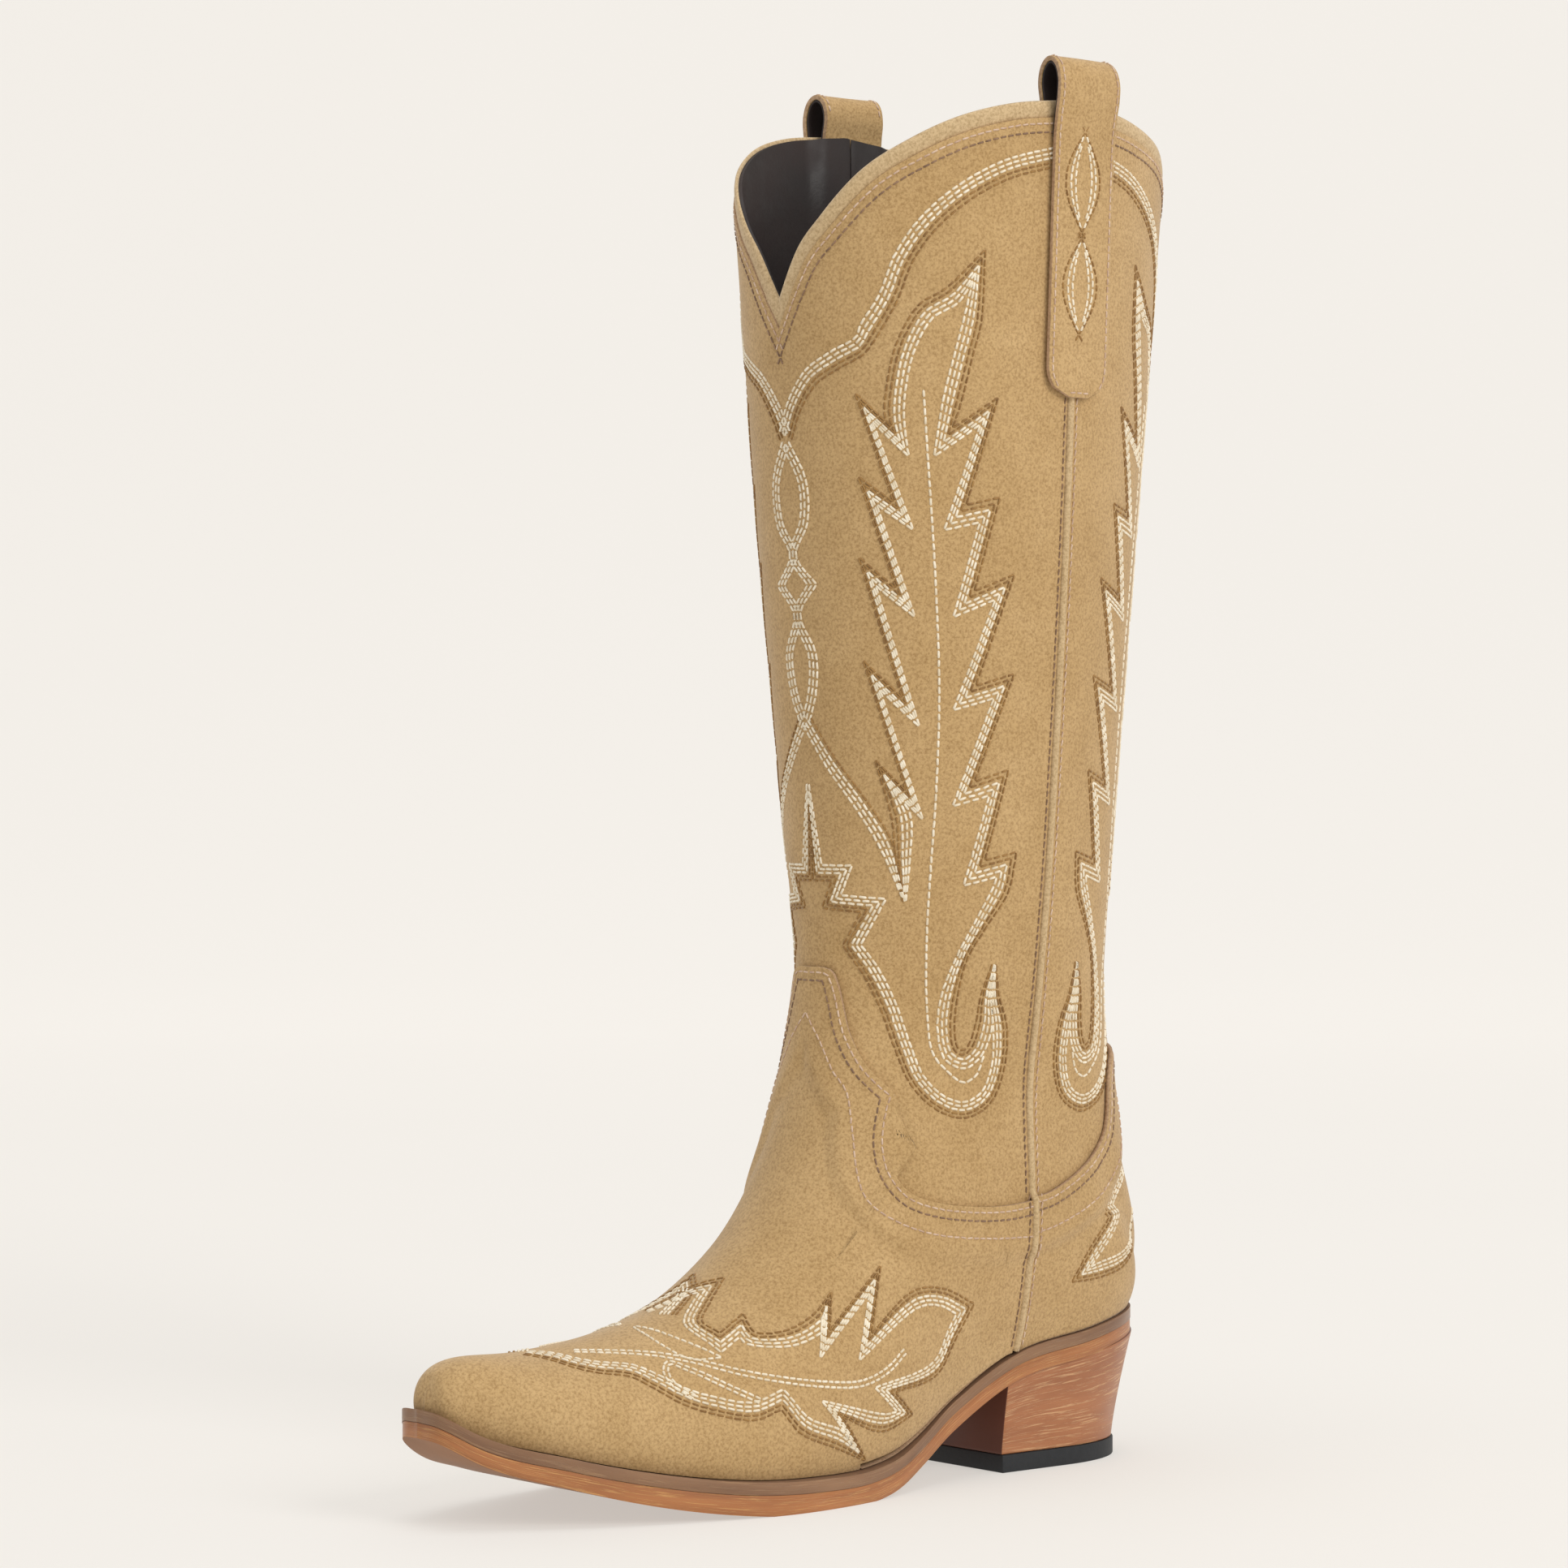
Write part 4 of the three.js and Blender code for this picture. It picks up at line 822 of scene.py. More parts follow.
z = np.linspace(SEAM_LOW, SEAM_HIGH, 260)
t, way = seam_line(z)
turn = np.linspace(0, 2 * np.pi, 12, endpoint=False)
for name, side in SIDES:
    n = normal(t, side * way)
    centre = surface(t, side * way) + n * (seam_lift(z) - .1)[:, None]
    rings = hang(centre, n, np.tile([0., 1, 0], (len(z), 1)),
                 BEAD * np.stack([np.cos(turn), np.sin(turn)], 1))
    ring_sweep(f"side_welt_{name}", rings, [f"side_bead_{name}"])

# ---------------------------------------------------------------- pull straps
STRAP_WIDTH, STRAP_RISE, STRAP_DROP, STRAP_THICK = 24.6, 12, 90, 1.6
STRAP_PATH = [(.3, -STRAP_DROP), (.3, -STRAP_DROP * .75), (.3, -STRAP_DROP * .5), (.3, -STRAP_DROP * .28),
              (.4, -12), (1, -5), (1.9, 1), (2.1, .45 * STRAP_RISE), (.9, .75 * STRAP_RISE),
              (-1.4, .86 * STRAP_RISE), (-3.7, .7 * STRAP_RISE), (-4.6, .38 * STRAP_RISE), (-3.9, 0),
              (-3.3, -4), (-3.1, -9)]
STRAP_INNER, STRAP_CORNER = .7, 9.


def leg_point(z, y, off, side):
    """Point over the leg at height z, position y and distance off; straight up above the shaft top."""
    z, y, off = np.broadcast_arrays(z, y, off)
    zz = np.minimum(z, SHAFT_TOP - .5)
    t = np.full(z.shape, RIM - .5)
    for _ in range(14):
        way = round_at_y(t, y)
        t = step_at_height(zz, way, RIM - 3)
    p = surface(t, side * way) + normal(t, side * way) * off[..., None]
    p[..., 2] += z - zz
    return p


def strap_course(count, start=0):
    """Fine points and square directions of the strap's course: distance out and height over the rim."""
    knots = np.arange(start, len(STRAP_PATH))
    path = through(range(len(STRAP_PATH)), STRAP_PATH, np.linspace(start, knots[-1], count))
    d = np.gradient(path, axis=0)
    d /= np.linalg.norm(d, axis=1, keepdims=True)
    return path, np.stack([d[:, 1], -d[:, 0]], 1)


def strap_layer(side, inner, outer, count, start=0, columns=17, inset=0.):
    """Outer and inner grid of a strap's layer; the end on the leg has round corners if it starts at 0."""
    path, square = strap_course(count, start)
    x = np.linspace(-1, 1, columns)[None, :]
    half_width = STRAP_WIDTH / 2 - inset
    reach = path[:, 1] - path[0, 1]
    nose = np.where((reach < STRAP_CORNER) & (start == 0),
                    STRAP_CORNER - np.sqrt(np.maximum(STRAP_CORNER**2 - (STRAP_CORNER - reach)**2, 0)), 0)
    y = STRAP_Y + x * (half_width - nose * .97)[:, None]
    layers = [(path + o * square)[:, :, None] for o in (outer, inner)]
    return [leg_point(SHAFT_TOP + layer[:, 1], y, layer[:, 0], side) for layer in layers]


for name, side in SIDES:
    outer, inner = strap_layer(side, STRAP_INNER + .1, STRAP_INNER + STRAP_THICK, 110)
    slab(f"strap_{name}", outer[:, ::side], inner[:, ::side], [SUEDE, CUT], "suede", .4,
         stands_for=[f"pull_strap_{name}"])
    outer, inner = strap_layer(side, 0, STRAP_INNER, 60, 4, 9, .3)
    slab(f"strap_lining_{name}", outer[:, ::side], inner[:, ::side], [LINING], "lining", .15,
         stands_for=[f"pull_strap_lining_{name}"])

# ---------------------------------------------------------------- sole unit
WELT_THICK, SEAT_GAP, WELT_LEDGE, WELT_LEDGE_HEEL = 3.2, .7, 4.5, 1.


def outline(t, out):
    """Feather line in plan, moved out by `out` mm (outer half)."""
    t = np.asarray(t, float)
    e = edge_at(t)
    d = edge_at(np.minimum(t + .01, HEEL_BACK - 1e-6)) - edge_at(np.maximum(t - .01, 0))
    n = unit(np.stack([d[..., 1], -d[..., 0]], -1))
    n[t < .01] = (0, -1)
    n[t > HEEL_BACK - .01] = (0, 1)
    x, y = e[..., 0] + n[..., 0] * out, e[..., 1] + n[..., 1] * out
    return np.maximum(x, 0), y


def ledge(t):
    """How far the welt stands out from the feather line."""
    return lerp(lerp(3, WELT_LEDGE, smooth(t / 2)), WELT_LEDGE_HEEL, smooth((t - 5.6) / 1.6))


def welt_high(y):
    return feather_z(y) - SEAT_GAP + .45


SOLE_T = np.concatenate([uneven(16, 1.5) * .6, np.linspace(.6, 10.4, 150)[1:],
                         11 - .6 * uneven(16, 1.5)[::-1][1:]])


def plate(name, out, high, low, columns, materials, slot, stands_for, bevel):
    """Layer of the sole: out gives its ledge, high and low the heights of its faces."""
    x, y = outline(SOLE_T, out(SOLE_T))
    k = np.linspace(-1, 1, columns)[None, ::-1]
    upper, lower = (np.stack([x[:, None] * k, y[:, None] + 0 * k, f(y)[:, None] + 0 * k], -1)
                    for f in (high, low))
    return slab(name, upper, lower, materials, slot, bevel, stands_for, levels=True)


def welt_low(y):
    return feather_z(y) - SEAT_GAP - WELT_THICK


plate("welt_strip", ledge, welt_high, welt_low, 21, [WELT_TOP, WELT_SIDE], "welt",
      ["welt", "cork_filler"], .5)
plate("outsole_leather", lambda t: ledge(t) - .15, lambda y: welt_low(y) - .12, tread_z, 25,
      [SOLE_UNDER, SOLE_SIDE], "sole", ["outsole"], .7)

# ---------------------------------------------------------------- heel
LIFT_THICK, LIFT_HALF, HEEL_FRONT, LIFT_BACK = 5.5, 24.2, -36, 26
HEEL_TOP_HALF, HEEL_POINTS = 26.6, 60
HEEL_TOP_BACK = EDGE[HEEL_BACK, 1] + WELT_LEDGE_HEEL - .4


def heel_outline(k, grow):
    """Half outline of the heel from breast to back; k is 0 at the top lift and 1 under the sole."""
    s = np.sin(np.pi / 2 * np.linspace(0, 1, HEEL_POINTS))
    rounded = np.sqrt(np.maximum(1 - (np.maximum(s - .42, 0) / .58)**2.2, 0))
    back = lerp(LIFT_BACK, HEEL_TOP_BACK, k**1.3)
    wide = lerp(LIFT_HALF, HEEL_TOP_HALF, k**1.3) - .8 * (1 - s) * (1 - k)
    return np.stack([(wide + grow) * rounded, lerp(HEEL_FRONT, back + grow, s)], -1)


def heel_stack(name, heights, ks, materials, stands_for, bevel, grow=0.):
    """Closed body through heel outlines; the breast is its front wall, in the first material."""
    points, levels = [], []
    for k, height in zip(ks, heights):
        half_line = heel_outline(k, grow)
        ring = np.concatenate([half_line, half_line[-2:0:-1] * (-1, 1), half_line[:1] * (-1, 1)])
        points.append(np.column_stack([ring, height(ring[:, 1])]))
        levels += [k] * len(ring)
    m, rows = len(ring), len(points)
    base = (np.arange(rows - 1) * m)[:, None]
    j = np.arange(m - 1)[None, :]
    sides = np.stack([base + j, base + j + 1, base + m + j + 1, base + m + j], -1).reshape(-1, 4)
    breast = [(int(b) + m - 1, int(b), int(b) + m, int(b) + 2 * m - 1) for b in base[:, 0]]
    caps = [list(range(m))[::-1], [(rows - 1) * m + q for q in range(m)]]
    faces = caps + breast + sides.tolist()
    return new_object(name, lean(np.concatenate(points)), faces, materials,
                      len(sides) if len(materials) > 1 else 0, levels, bevel, stands_for)


ks = np.linspace(0, 1, 24)
heel_stack("heel_stack", [lambda y, k=k: lerp(LIFT_THICK + .05, tread_z(y) + .4, k) for k in ks], ks,
           [HEEL_BREAST, HEEL_SIDE], ["heel_block"], .5)
heel_stack("top_lift_piece", [lambda y, z=z: z + 0 * y for z in (0, LIFT_THICK * .5, LIFT_THICK)], [0, 0, 0],
           [RUBBER], ["top_lift"], .35, .5)


# ---------------------------------------------------------------- stitching
STITCHES = {}
THREAD_RADIUS = {"cream": .37, "brown": .31, "rose": .28, "dark": .27}
SNAP_T = np.concatenate([np.linspace(0, 10, 401), np.linspace(10, RIM, 701)[1:]])
SNAP_W = np.linspace(-1, 1, 321)
snap_points = surface(SNAP_T[:, None], SNAP_W[None, :]).reshape(-1, 3)
snap_normals = normal(SNAP_T[:, None], SNAP_W[None, :]).reshape(-1, 3)
TREE = search_tree(snap_points)


def on_surface(points):
    """Nearest points of the upper's outside, and the normals there."""
    near = np.array([TREE.find(p)[1] for p in points])
    n = snap_normals[near]
    return points - ((points - snap_points[near]) * n).sum(-1, keepdims=True) * n, n


def resample(path, pitch):
    """Points along a polyline, one stitch apart, and their directions."""
    s = running(step_lengths(path))
    count = max(int(round(s[-1] / pitch)), 1)
    middle = (np.arange(count) + .5) * s[-1] / count
    e = pitch * .3
    before, mid, after = (np.stack([np.interp(at, s, path[:, k]) for k in range(3)], 1)
                          for at in (middle - e, middle, middle + e))
    return mid, unit(after - before)


def curve(points, fine=12):
    """Smooth polyline through a few points."""
    points = np.asarray(points, float)
    if len(points) < 3:
        return lerp(points[0], points[-1], np.linspace(0, 1, 2 * fine)[:, None])
    knots = running(np.sqrt(step_lengths(points)) + 1e-6)
    return through(knots, points, np.linspace(0, knots[-1], fine * len(points)))


def stitch(group, path, pitch=2.7, share=.84, radius=None, lift=.12, normals=None):
    """Row of thread stitches along a path: on the upper, or with normals given, wherever the path is."""
    radius = radius or THREAD_RADIUS[group.split("_")[0]]
    mid, along = resample(path, pitch)
    if normals is None:
        mid, n = on_surface(mid)
    else:
        nearest = np.linalg.norm(mid[:, None] - path[None], axis=-1).argmin(1)
        n = np.broadcast_to(normals, path.shape)[nearest]
    along = unit(along - (along * n).sum(-1, keepdims=True) * n)
    yaw = RANDOM.normal(0, .05, len(mid))[:, None]
    across = unit(np.cross(n, along))
    along = unit(along + yaw * across)
    across = np.cross(n, along)
    length = pitch * share * RANDOM.uniform(.93, 1.05, len(mid))
    row = mid + n * lift, along, across, n, length, np.full(len(mid), radius)
    STITCHES.setdefault(group, []).append(row)


# Rings of one stitch: share of its length, share of its radius, and mm along the normal.
STITCH_RINGS = [(-.5, .45, -.22), (-.36, .92, 0), (.36, .92, 0), (.5, .45, -.22)]
STITCH_SIDES = 6


def sew(group, material, name):
    """Makes the collected stitches of one group into a piece."""
    mid, along, across, n, length, radius = (np.concatenate(x) for x in zip(*STITCHES[group]))
    turn = 2 * np.pi * np.arange(STITCH_SIDES) / STITCH_SIDES
    points = []
    for s, fat, sink in STITCH_RINGS:
        for angle in turn:
            r = (radius * fat)[:, None]
            points.append(mid + along * (s * length)[:, None] + across * r * np.cos(angle) * 1.15
                          + n * (r * np.sin(angle) + sink))
    points = np.stack(points, 1)
    count, per = points.shape[:2]
    base = (np.arange(count) * per)[:, None]
    faces = []
    for ring in range(len(STITCH_RINGS) - 1):
        for k in range(STITCH_SIDES):
            a, b = ring * STITCH_SIDES + k, ring * STITCH_SIDES + (k + 1) % STITCH_SIDES
            faces.append(base + np.array([a, b, b + STITCH_SIDES, a + STITCH_SIDES]))
    faces = np.concatenate(faces).tolist()
    first = np.arange(STITCH_SIDES)
    for cap in (first[::-1], per - STITCH_SIDES + first):
        faces += (base + cap).tolist()
    return new_object(name, lean(points.reshape(-1, 3)), faces, [material])


def corner_rows(corners, width, rows, hand, taper=0, lead=0, mitre_limit=1.8):
    """Parallel rows of a band, as lists of polylines. Each corner is (point, normal, place, sharp): place +1
    lies on the band's outer border, -1 on its inner border and 0 on its middle line; at a sharp one the rows
    turn. hand +1 puts the outer border on the left of the way. The rows run together at the end if taper is
    1, and at the start too if it is 2. The first `lead` points only give the direction."""
    p, n, place, sharp = (np.array(x) for x in zip(*corners))
    step = unit(np.diff(p, axis=0))
    before, after = np.concatenate([step[:1], step]), np.concatenate([step, step[-1:]])
    out = hand * unit(np.cross(n, unit(before + after)))
    cosine = np.sqrt(np.maximum((1 + (before * after).sum(-1)) / 2, 1e-3))
    mitre = np.where(sharp, np.minimum(1 / cosine, mitre_limit), 1)
    narrow = np.ones(len(p))
    for end in (-1, 0)[:taper]:
        narrow *= np.clip(.15 + np.linalg.norm(p - p[end], axis=1) / 22, 0, 1)
    turns = [lead] + [i for i in range(lead + 1, len(p) - 1) if sharp[i]] + [len(p) - 1]
    result = []
    for o in np.linspace(width / 2, -width / 2, rows):
        q = p + out * ((o - place * width / 2) * mitre * narrow)[:, None]
        result.append([curve(q[a:b + 1]) for a, b in zip(turns, turns[1:])])
    return result


def band(points, where, colors, hand, width=5.6, pitch=2.7, border=0, taper=0, lead=0):
    """Embroidered band of len(colors) rows, from the outer border inwards. The points lie on its middle line,
    on its outer border if border is 1 or on the inner one if it is -1; a third number marks a sharp corner
    and says which border it is on."""
    corners = []
    for a, b, *place in points:
        p, n = where(a, b)
        corners.append((p, n, border or (place[0] if place else 0), bool(place)))
    for group, row in zip(colors, corner_rows(corners, width, len(colors), hand, taper, lead)):
        for path in row:
            stitch(group, path, pitch)


def inset(line, normals, distance):
    """Line that runs beside an edge line, `distance` mm to the left of its way."""
    along = unit(np.gradient(line, axis=0))
    moved = line + unit(np.cross(normals, along)) * distance
    near = np.linalg.norm(moved[:, None] - line[None], axis=-1).min(1)
    return moved[near > abs(distance) - .15]


def mirror_x(path):
    return path * (-1, 1, 1)


# ---------------------------------------------------------------- embroidery
def at_step(t, w):
    return surface(t, w), normal(t, w)


def at_leg(u, z):
    return at_step(*leg(u, z))


def mirrored(points, back=False):
    """The same pattern on the inner side of the leg or, with back, behind the side seam."""
    return [((2 - p[0]) if back else -p[0], *p[1:]) for p in points]


WARM = ["brown", "brown", "cream", "cream", "cream"]
# Patterns of the leg in u, z. A third number marks a corner: 1 on the outer border of the band, -1 on the
# inner one.
SCALLOP = [(.99, 404), (.91, 402), (.74, 397), (.6, 389), (.5, 380), (.43, 370), (.38, 358), (.34, 346, -1),
           (.29, 344), (.21, 340), (.12, 335), (.05, 327), (0, 318)]
VANES = [(.39, 177), (.385, 190), (.38, 203), (.29, 220, 1), (.46, 202, -1), (.26, 250, 1), (.45, 230, -1),
         (.26, 281, 1), (.44, 263, -1), (.27, 305, 1), (.44, 289, -1), (.27, 330, 1), (.43, 311, -1),
         (.39, 323), (.40, 333), (.43, 344), (.49, 354), (.57, 359), (.675, 373, 1), (.635, 352),
         (.605, 341), (.57, 328), (.51, 311, -1), (.72, 329, 1), (.54, 289, -1), (.73, 299, 1),
         (.57, 263, -1), (.79, 276, 1), (.57, 235, -1), (.80, 246, 1), (.57, 206, -1), (.79, 217, 1),
         (.62, 182, -1), (.84, 192, 1), (.78, 181), (.70, 170), (.63, 160), (.59, 148), (.59, 138),
         (.62, 131), (.68, 129), (.73, 132), (.755, 139), (.75, 148), (.77, 158)]
SPINE = [(.48, 331), (.49, 311), (.51, 274), (.52, 240), (.51, 212), (.49, 187), (.48, 167), (.50, 144),
         (.54, 131), (.60, 126), (.68, 122), (.74, 124), (.77, 130)]
# The loop's points lie on its inner border.
LOOP = [(-.03, 199), (.005, 213, -1), (.055, 188, -1), (.19, 188, -1), (.14, 179, -1), (.32, 178, -1),
        (.22, 164, -1), (.29, 157), (.37, 146), (.44, 134), (.51, 124), (.6, 118), (.69, 116), (.77, 119),
        (.81, 127), (.8, 138), (.77, 148), (.77, 158)]
CHAIN = [(0, 316), (.065, 304), (.06, 292), (.0, 282), (.06, 273, 1), (.0, 264), (.06, 252), (.05, 241),
         (.01, 232)]
BRANCH = [(.01, 232), (.11, 220), (.23, 207), (.32, 195), (.39, 178)]

WING = [(1.62, 94), (1.50, 87), (1.38, 80.5, -1), (1.44, 77, 1), (1.33, 69), (1.24, 58, 1), (1.40, 58.5),
        (1.55, 61), (1.66, 68), (1.74, 78)]

for back in (False, True):
    for inner in (False, True):
        def place(points):
            moved = mirrored(points, True) if back else points
            return mirrored(moved) if inner else moved

        hand = -1 if back != inner else 1
        tag = ("back" if back else "front") + ("_medial" if inner else "_lateral")
        warm = [f"{c}_{tag}" for c in WARM]
        cool = warm[::-1]
        band(place(SCALLOP), at_leg, cool, -hand)
        band(place(VANES), at_leg, warm, hand, taper=2)
        band(place(SPINE), at_leg, warm[2:3], hand, 0)
        band(place(LOOP), at_leg, warm, -hand, 4.8, border=-1, taper=1, lead=1)
        band(place(CHAIN), at_leg, cool[:3], -hand, 3)
        band(place(BRANCH), at_leg, cool[:4], -hand, 4, taper=1)

# Vamp pattern in section number and way round, on the outer border; corners as above.
VAMP_UPPER = [(4.6, -.12), (5.1, -.02), (5.36, .1, 1), (4.98, .17), (4.74, .24), (4.78, .34, 1),
              (5.14, .31, 1), (5.1, .41), (5.38, .47), (5.74, .48), (6.02, .46, 1), (5.78, .56, 1),
              (6.6, .52, 1), (6.18, .65, 1), (6.76, .65), (7.06, .71), (7.38, .81, 1), (7.1, .85),
              (6.86, .89), (6.3, .84, 1), (6.54, .93, 1), (6.14, .92), (5.64, .83, 1), (5.96, .98, 1),
              (5.56, .92), (5.14, .84), (4.98, .74, 1), (4.7, .76), (4.28, .71), (4.02, .65), (3.82, .56),
              (3.64, .47), (3.36, .42), (3.16, .35), (2.98, .22), (2.8, .08)]
VAMP_SPINE = [(3.32, .16), (3.96, .33), (4.3, .43), (4.72, .55), (5.08, .63), (5.46, .7), (5.92, .76),
              (6.24, .77), (6.48, .76)]
VAMP_LOOP = [(4.8, .69), (4.56, .61), (4.24, .48), (4.08, .42), (4, .47), (4.02, .55), (4.18, .63)]
VAMP_BUD = [(4.62, .46), (4.36, .29), (4.14, .06), (4.14, .28), (4.3, .42), (4.62, .46)]
for name, side in SIDES:
    def place(points):
        return [(p[0], side * p[1], *p[2:]) for p in points]

    warm = [f"{c}_foot_{name}" for c in WARM]
    cream = f"cream_foot_{name}"
    band(place(VAMP_UPPER), at_step, warm, side, 5.2, border=1)
    band(place(VAMP_SPINE), at_step, [cream] * 2, side, 1.6, 2.2)
    band(place(VAMP_LOOP), at_step, [cream] * 2, side, 1.4, 2.2)
    band(place(VAMP_BUD), at_step, [cream], side, 0, 2.2)
    band([(side * p[0], *p[1:]) for p in WING], at_leg, warm, -side, 5, border=1, taper=1)

# ---------------------------------------------------------------- rows along the edges
def both_sides(line, normals, distance, color, where, beyond=0., **look):
    """Row of stitches beside an edge, on the outer and on the inner side of the boot. It starts `beyond` mm
    past the front centre line."""
    path = inset(line, normals, distance)
    if beyond:
        back = unit(path[0] - path[8])
        path = np.concatenate([[path[0] + back * (beyond + path[0, 0] * 1.6)], path])
    stitch(f"{color}_{where}_lateral", path, **look)
    stitch(f"{color}_{where}_medial", mirror_x(path), **look)


def pattern_line(points, fine=300):
    u, z = through(np.arange(len(points)), points, np.linspace(0, len(points) - 1, fine)).T
    return at_leg(u, z)


SEWN = {"pitch": 2.6, "radius": .27}
on_lap = {"lift": LIFT + .1, **SEWN}
for edge, foot in ((VAMP_EDGE, SHAFT_FOOT), (COUNTER_EDGE, BACK_FOOT)):
    both_sides(edge.points, edge.normals, -1.7, "rose", "foot", **on_lap)
    both_sides(edge.points, edge.normals, -4.2, "dark", "foot", **on_lap)
    both_sides(*pattern_line(foot), 0, "rose", "foot", **on_lap)

for where, ways, beyond in (("front", np.linspace(0, end_front - .01, 500), 5.),
                            ("back", np.linspace(end_back + .01, 1, 400), 0.)):
    line, line_normals = at_step(rim_step(ways), ways)
    for depth, color in ((PANEL_DROP + 1.8, "rose"), (PANEL_DROP + 4.4, "dark")):
        both_sides(line, line_normals, -depth, color, where, beyond, **SEWN)

z = np.linspace(SEAM_LOW + 1, SHAFT_TOP - 12, 500)
for offset, color in ((-2.4, "dark"), (2.6, "rose")):
    t, way = seam_line(z, offset)
    line, out = at_step(t, way)
    path = line + out * seam_lift(z)[:, None]
    for name, side in SIDES:
        stitch(f"{color}_seam_{name}", path * (side, 1, 1), normals=normal(t, side * way)[0], **SEWN)

# ---------------------------------------------------------------- rows and leaves on the pull straps
STRAP_FACE = STRAP_PATH[0][0] + STRAP_INNER + STRAP_THICK
ROW_INSET = 1.4
# Heights of the leaves' ends, and the rows of a leaf with half its width.
LEAVES = ((410, 380), (378, 349))
LEAF_ROWS = (("brown", 7.), ("cream", 5.1), ("cream", 3.3))


def on_strap(name, side, color, y, z, off, up=0., out=1., **look):
    """Row of stitches on a strap: y from its middle, off the distance out from the leg; (out, up) points away
    from the strap's face."""
    y, z, off = floats(y, z, off)
    path = leg_point(z, STRAP_Y + y, off, side)
    out = unit(leg_point(z + up, STRAP_Y + y, off + out, side) - path)
    stitch(f"{color}_strap_{name}", path, 2.5, normals=out, **look)


for name, side in SIDES:
    for top, bottom in LEAVES:
        for row, (color, half_leaf) in enumerate(LEAF_ROWS):
            s = np.linspace(-.07 + .1 * row, 1.07 - .1 * row, 60)
            for flank in (1, -1):
                y = -1 + flank * half_leaf * np.sin(np.pi * s)
                on_strap(name, side, color, y, lerp(top, bottom, s), STRAP_FACE)
    path, square = (x[:84] for x in strap_course(110))
    keep = path[:, 1] > path[0, 1] + 1.3
    nose = np.clip(STRAP_CORNER - (path[:, 1] - path[0, 1]), 0, STRAP_CORNER)[keep]
    path, square = path[keep], square[keep]
    face = path + square * (STRAP_INNER + STRAP_THICK)
    for flank in (1, -1):
        cut = STRAP_CORNER - np.sqrt(STRAP_CORNER**2 - np.minimum(nose, STRAP_CORNER - .1)**2)
        y = flank * (STRAP_WIDTH / 2 - ROW_INSET - cut)
        on_strap(name, side, "rose", y, SHAFT_TOP + face[:, 1], face[:, 0], square[:, 1], square[:, 0],
                 radius=.27)
    on_strap(name, side, "rose", np.linspace(-4, 4, 12), SHAFT_TOP - STRAP_DROP + ROW_INSET, STRAP_FACE,
             radius=.27)

THREADS = {"cream": CREAM, "brown": BROWN, "rose": ROSE, "dark": DARK}
for group in sorted(STITCHES):
    sew(group, THREADS[group.split("_")[0]], "thread_" + group)

# ---------------------------------------------------------------- what is left of the CAD pieces
HIDDEN_LOOKS = {"vamp_lining": LINING, "heel_lining": LINING, "sock_liner": LINING, "toe_puff": SOLE_UNDER,
                "counter_stiffener": SOLE_UNDER, "insole_board": SOLE_UNDER, "cork_filler": SOLE_UNDER}
METAL = plain("steel", srgb(170, 172, 176), .35, 1.)
for node_name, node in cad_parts.items():
    node.data.materials.clear()
    node.data.materials.append(HIDDEN_LOOKS.get(node_name, METAL))

# ---------------------------------------------------------------- floor, light and camera
PAPER = Nodes("paper", .8, .1)
PAPER.color(PAPER.ramp(PAPER.noise(2, 2), (.3, srgb(166, 164, 161)), (.7, srgb(167, 165, 162))))
# The paper glows more with the distance behind the boot, up to GLOW_REACH metres.
GLOW_REACH = 2.4
far = PAPER.new("ShaderNodeVectorMath", operation="DOT_PRODUCT")
PAPER.link(PAPER.where, far.inputs[0])
far.inputs[1].default_value = (-.766 / GLOW_REACH, .643 / GLOW_REACH, 0)
near_glow, far_glow = (tuple(c * share for c in srgb(241, 237, 231)[:3]) + (1,) for share in (.565, .7))
glow = PAPER.ramp(far.outputs["Value"], (0, near_glow), (1, far_glow))
PAPER.link(glow, PAPER.shader.inputs["Emission Color"])
PAPER.shader.inputs["Emission Strength"].default_value = 1
mesh = bpy.data.meshes.new("floor")
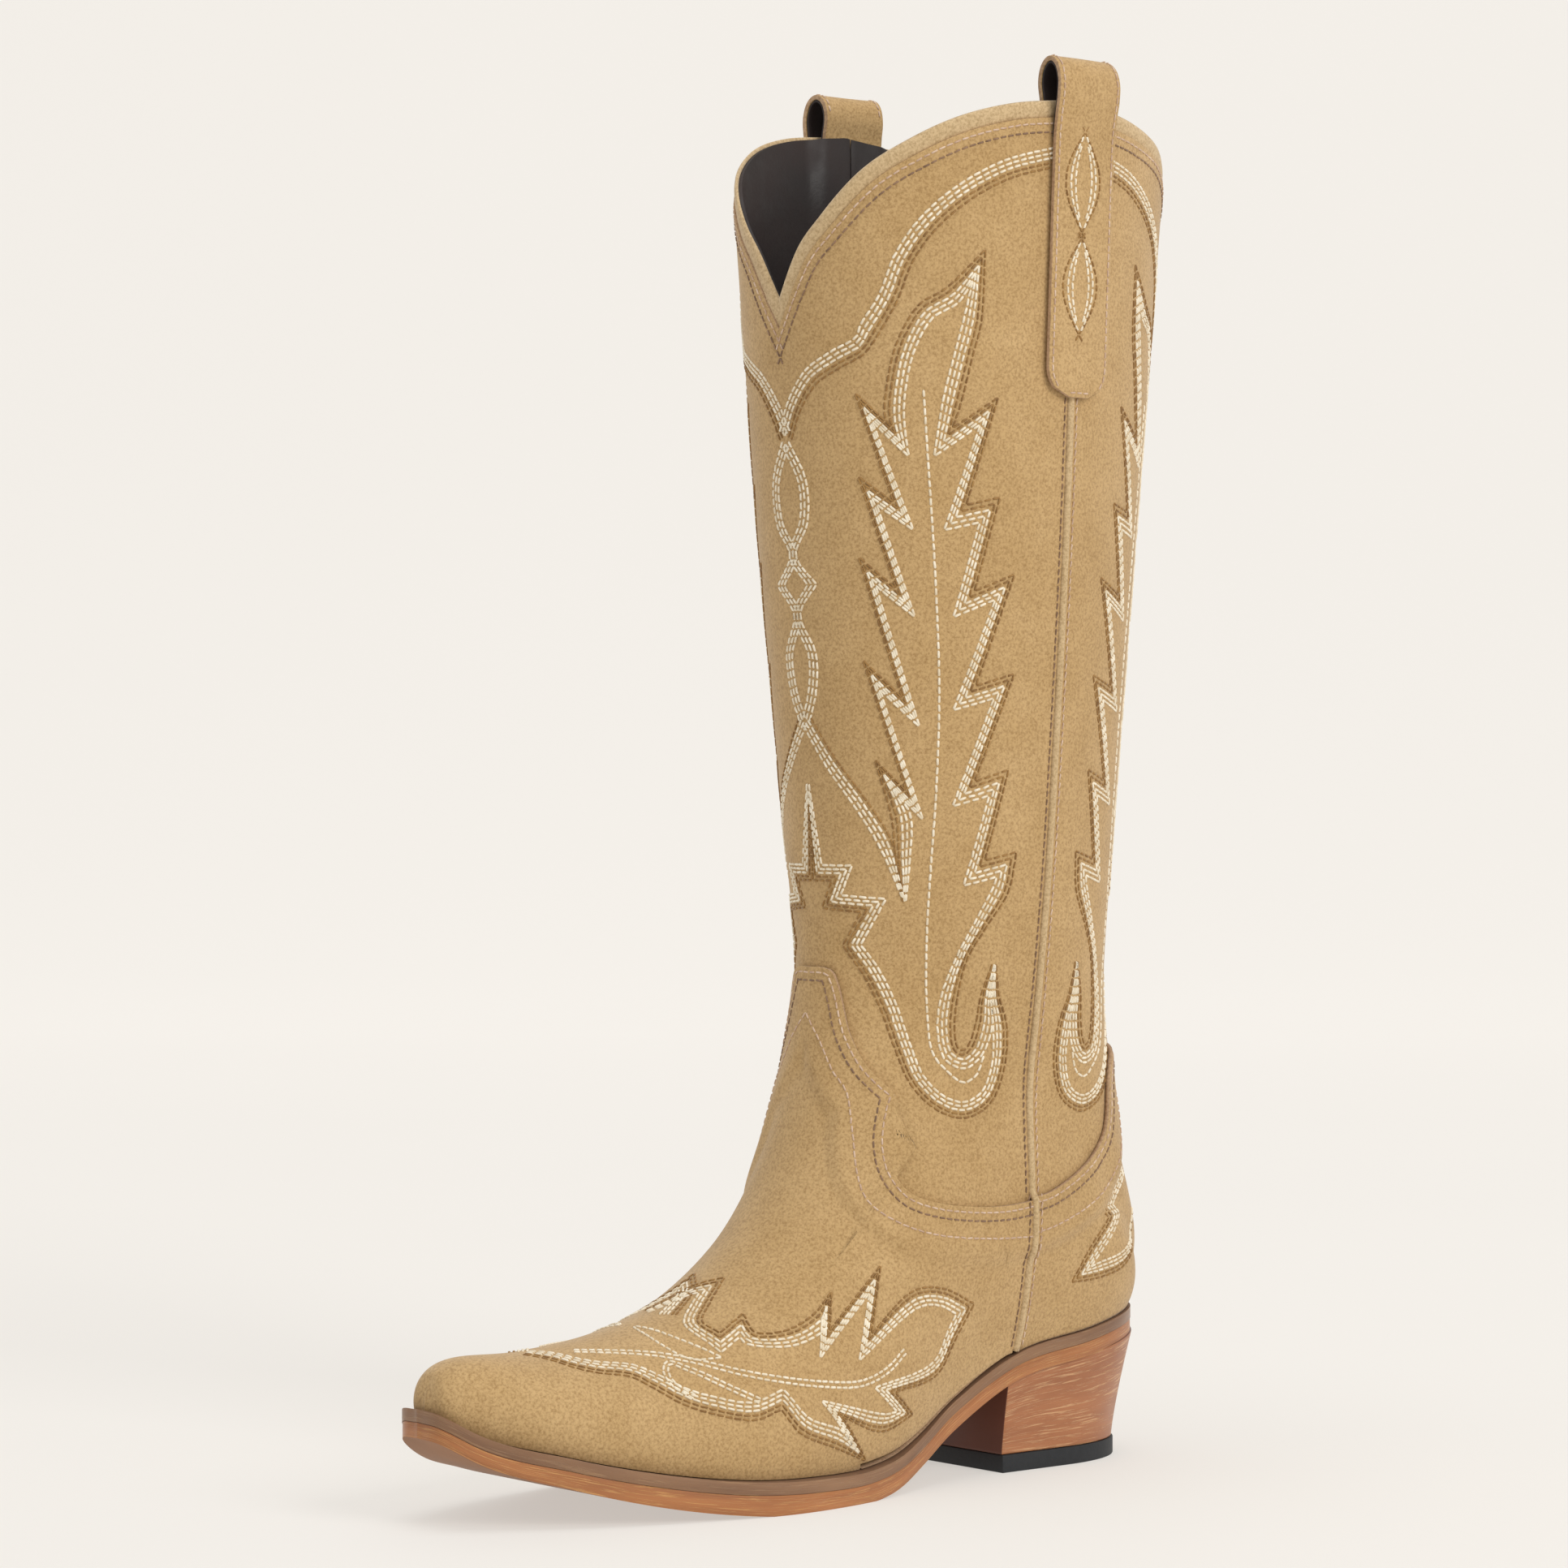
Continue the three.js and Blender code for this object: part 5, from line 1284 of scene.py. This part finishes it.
# The paper lies flat and bends up behind the boot, seen from the camera, which is turned by CAMERA_TURN.
BEND_START, BEND = 2.2, 1.5
CAMERA_TURN = math.radians(50)
profile_line = [(-6, 0), (BEND_START, 0)]
profile_line += [(BEND_START + BEND * math.sin(a), BEND - BEND * math.cos(a))
                 for a in np.linspace(.1, 1.5, 14)]
profile_line += [(3.75, 6)]
ahead = np.array([-math.sin(CAMERA_TURN), math.cos(CAMERA_TURN), 0])
aside = np.array([ahead[1], -ahead[0], 0])
rows = np.array([[ahead * s + np.array([0, 0, h]) + aside * q for q in (-8, 8)] for s, h in profile_line])
mesh.from_pydata(rows.reshape(-1, 3).tolist(), [], grid_faces(len(profile_line), 2).tolist())
mesh.polygons.foreach_set("use_smooth", [True] * len(mesh.polygons))
mesh.materials.append(PAPER.material)
floor = bpy.data.objects.new("floor", mesh)
bpy.context.scene.collection.objects.link(floor)

world = bpy.data.worlds.new("studio")
world.use_nodes = True
world.node_tree.nodes["Background"].inputs["Color"].default_value = (1, .985, .96, 1)
world.node_tree.nodes["Background"].inputs["Strength"].default_value = .5
bpy.context.scene.world = world


def softbox(name, place, size, power, color=(1, 1, 1)):
    light = bpy.data.lights.new(name, "AREA")
    light.energy, light.size, light.color = power, size, color
    obj = bpy.data.objects.new(name, light)
    obj.location = place
    obj.rotation_euler = (Vector((0, -.08, .2)) - Vector(place)).to_track_quat("-Z", "Y").to_euler()
    bpy.context.scene.collection.objects.link(obj)


softbox("key", (2.3, .1, 1.5), 1.2, 30, (1, .98, .95))
softbox("fill", (-.6, -2.2, 1.3), 1.4, 3)
softbox("top", (.2, -.3, 2.6), 1.4, 17)

camera = bpy.data.objects.new("camera", bpy.data.cameras.new("camera"))
camera.data.sensor_width, camera.data.lens, camera.data.shift_y = 36, 106.17, -.0186
camera.location = (1.0725, -1.0039, .2215)
camera.rotation_euler = (math.radians(90), 0, CAMERA_TURN)
bpy.context.scene.collection.objects.link(camera)
bpy.context.scene.camera = camera
bpy.context.scene.view_settings.view_transform = "Standard"
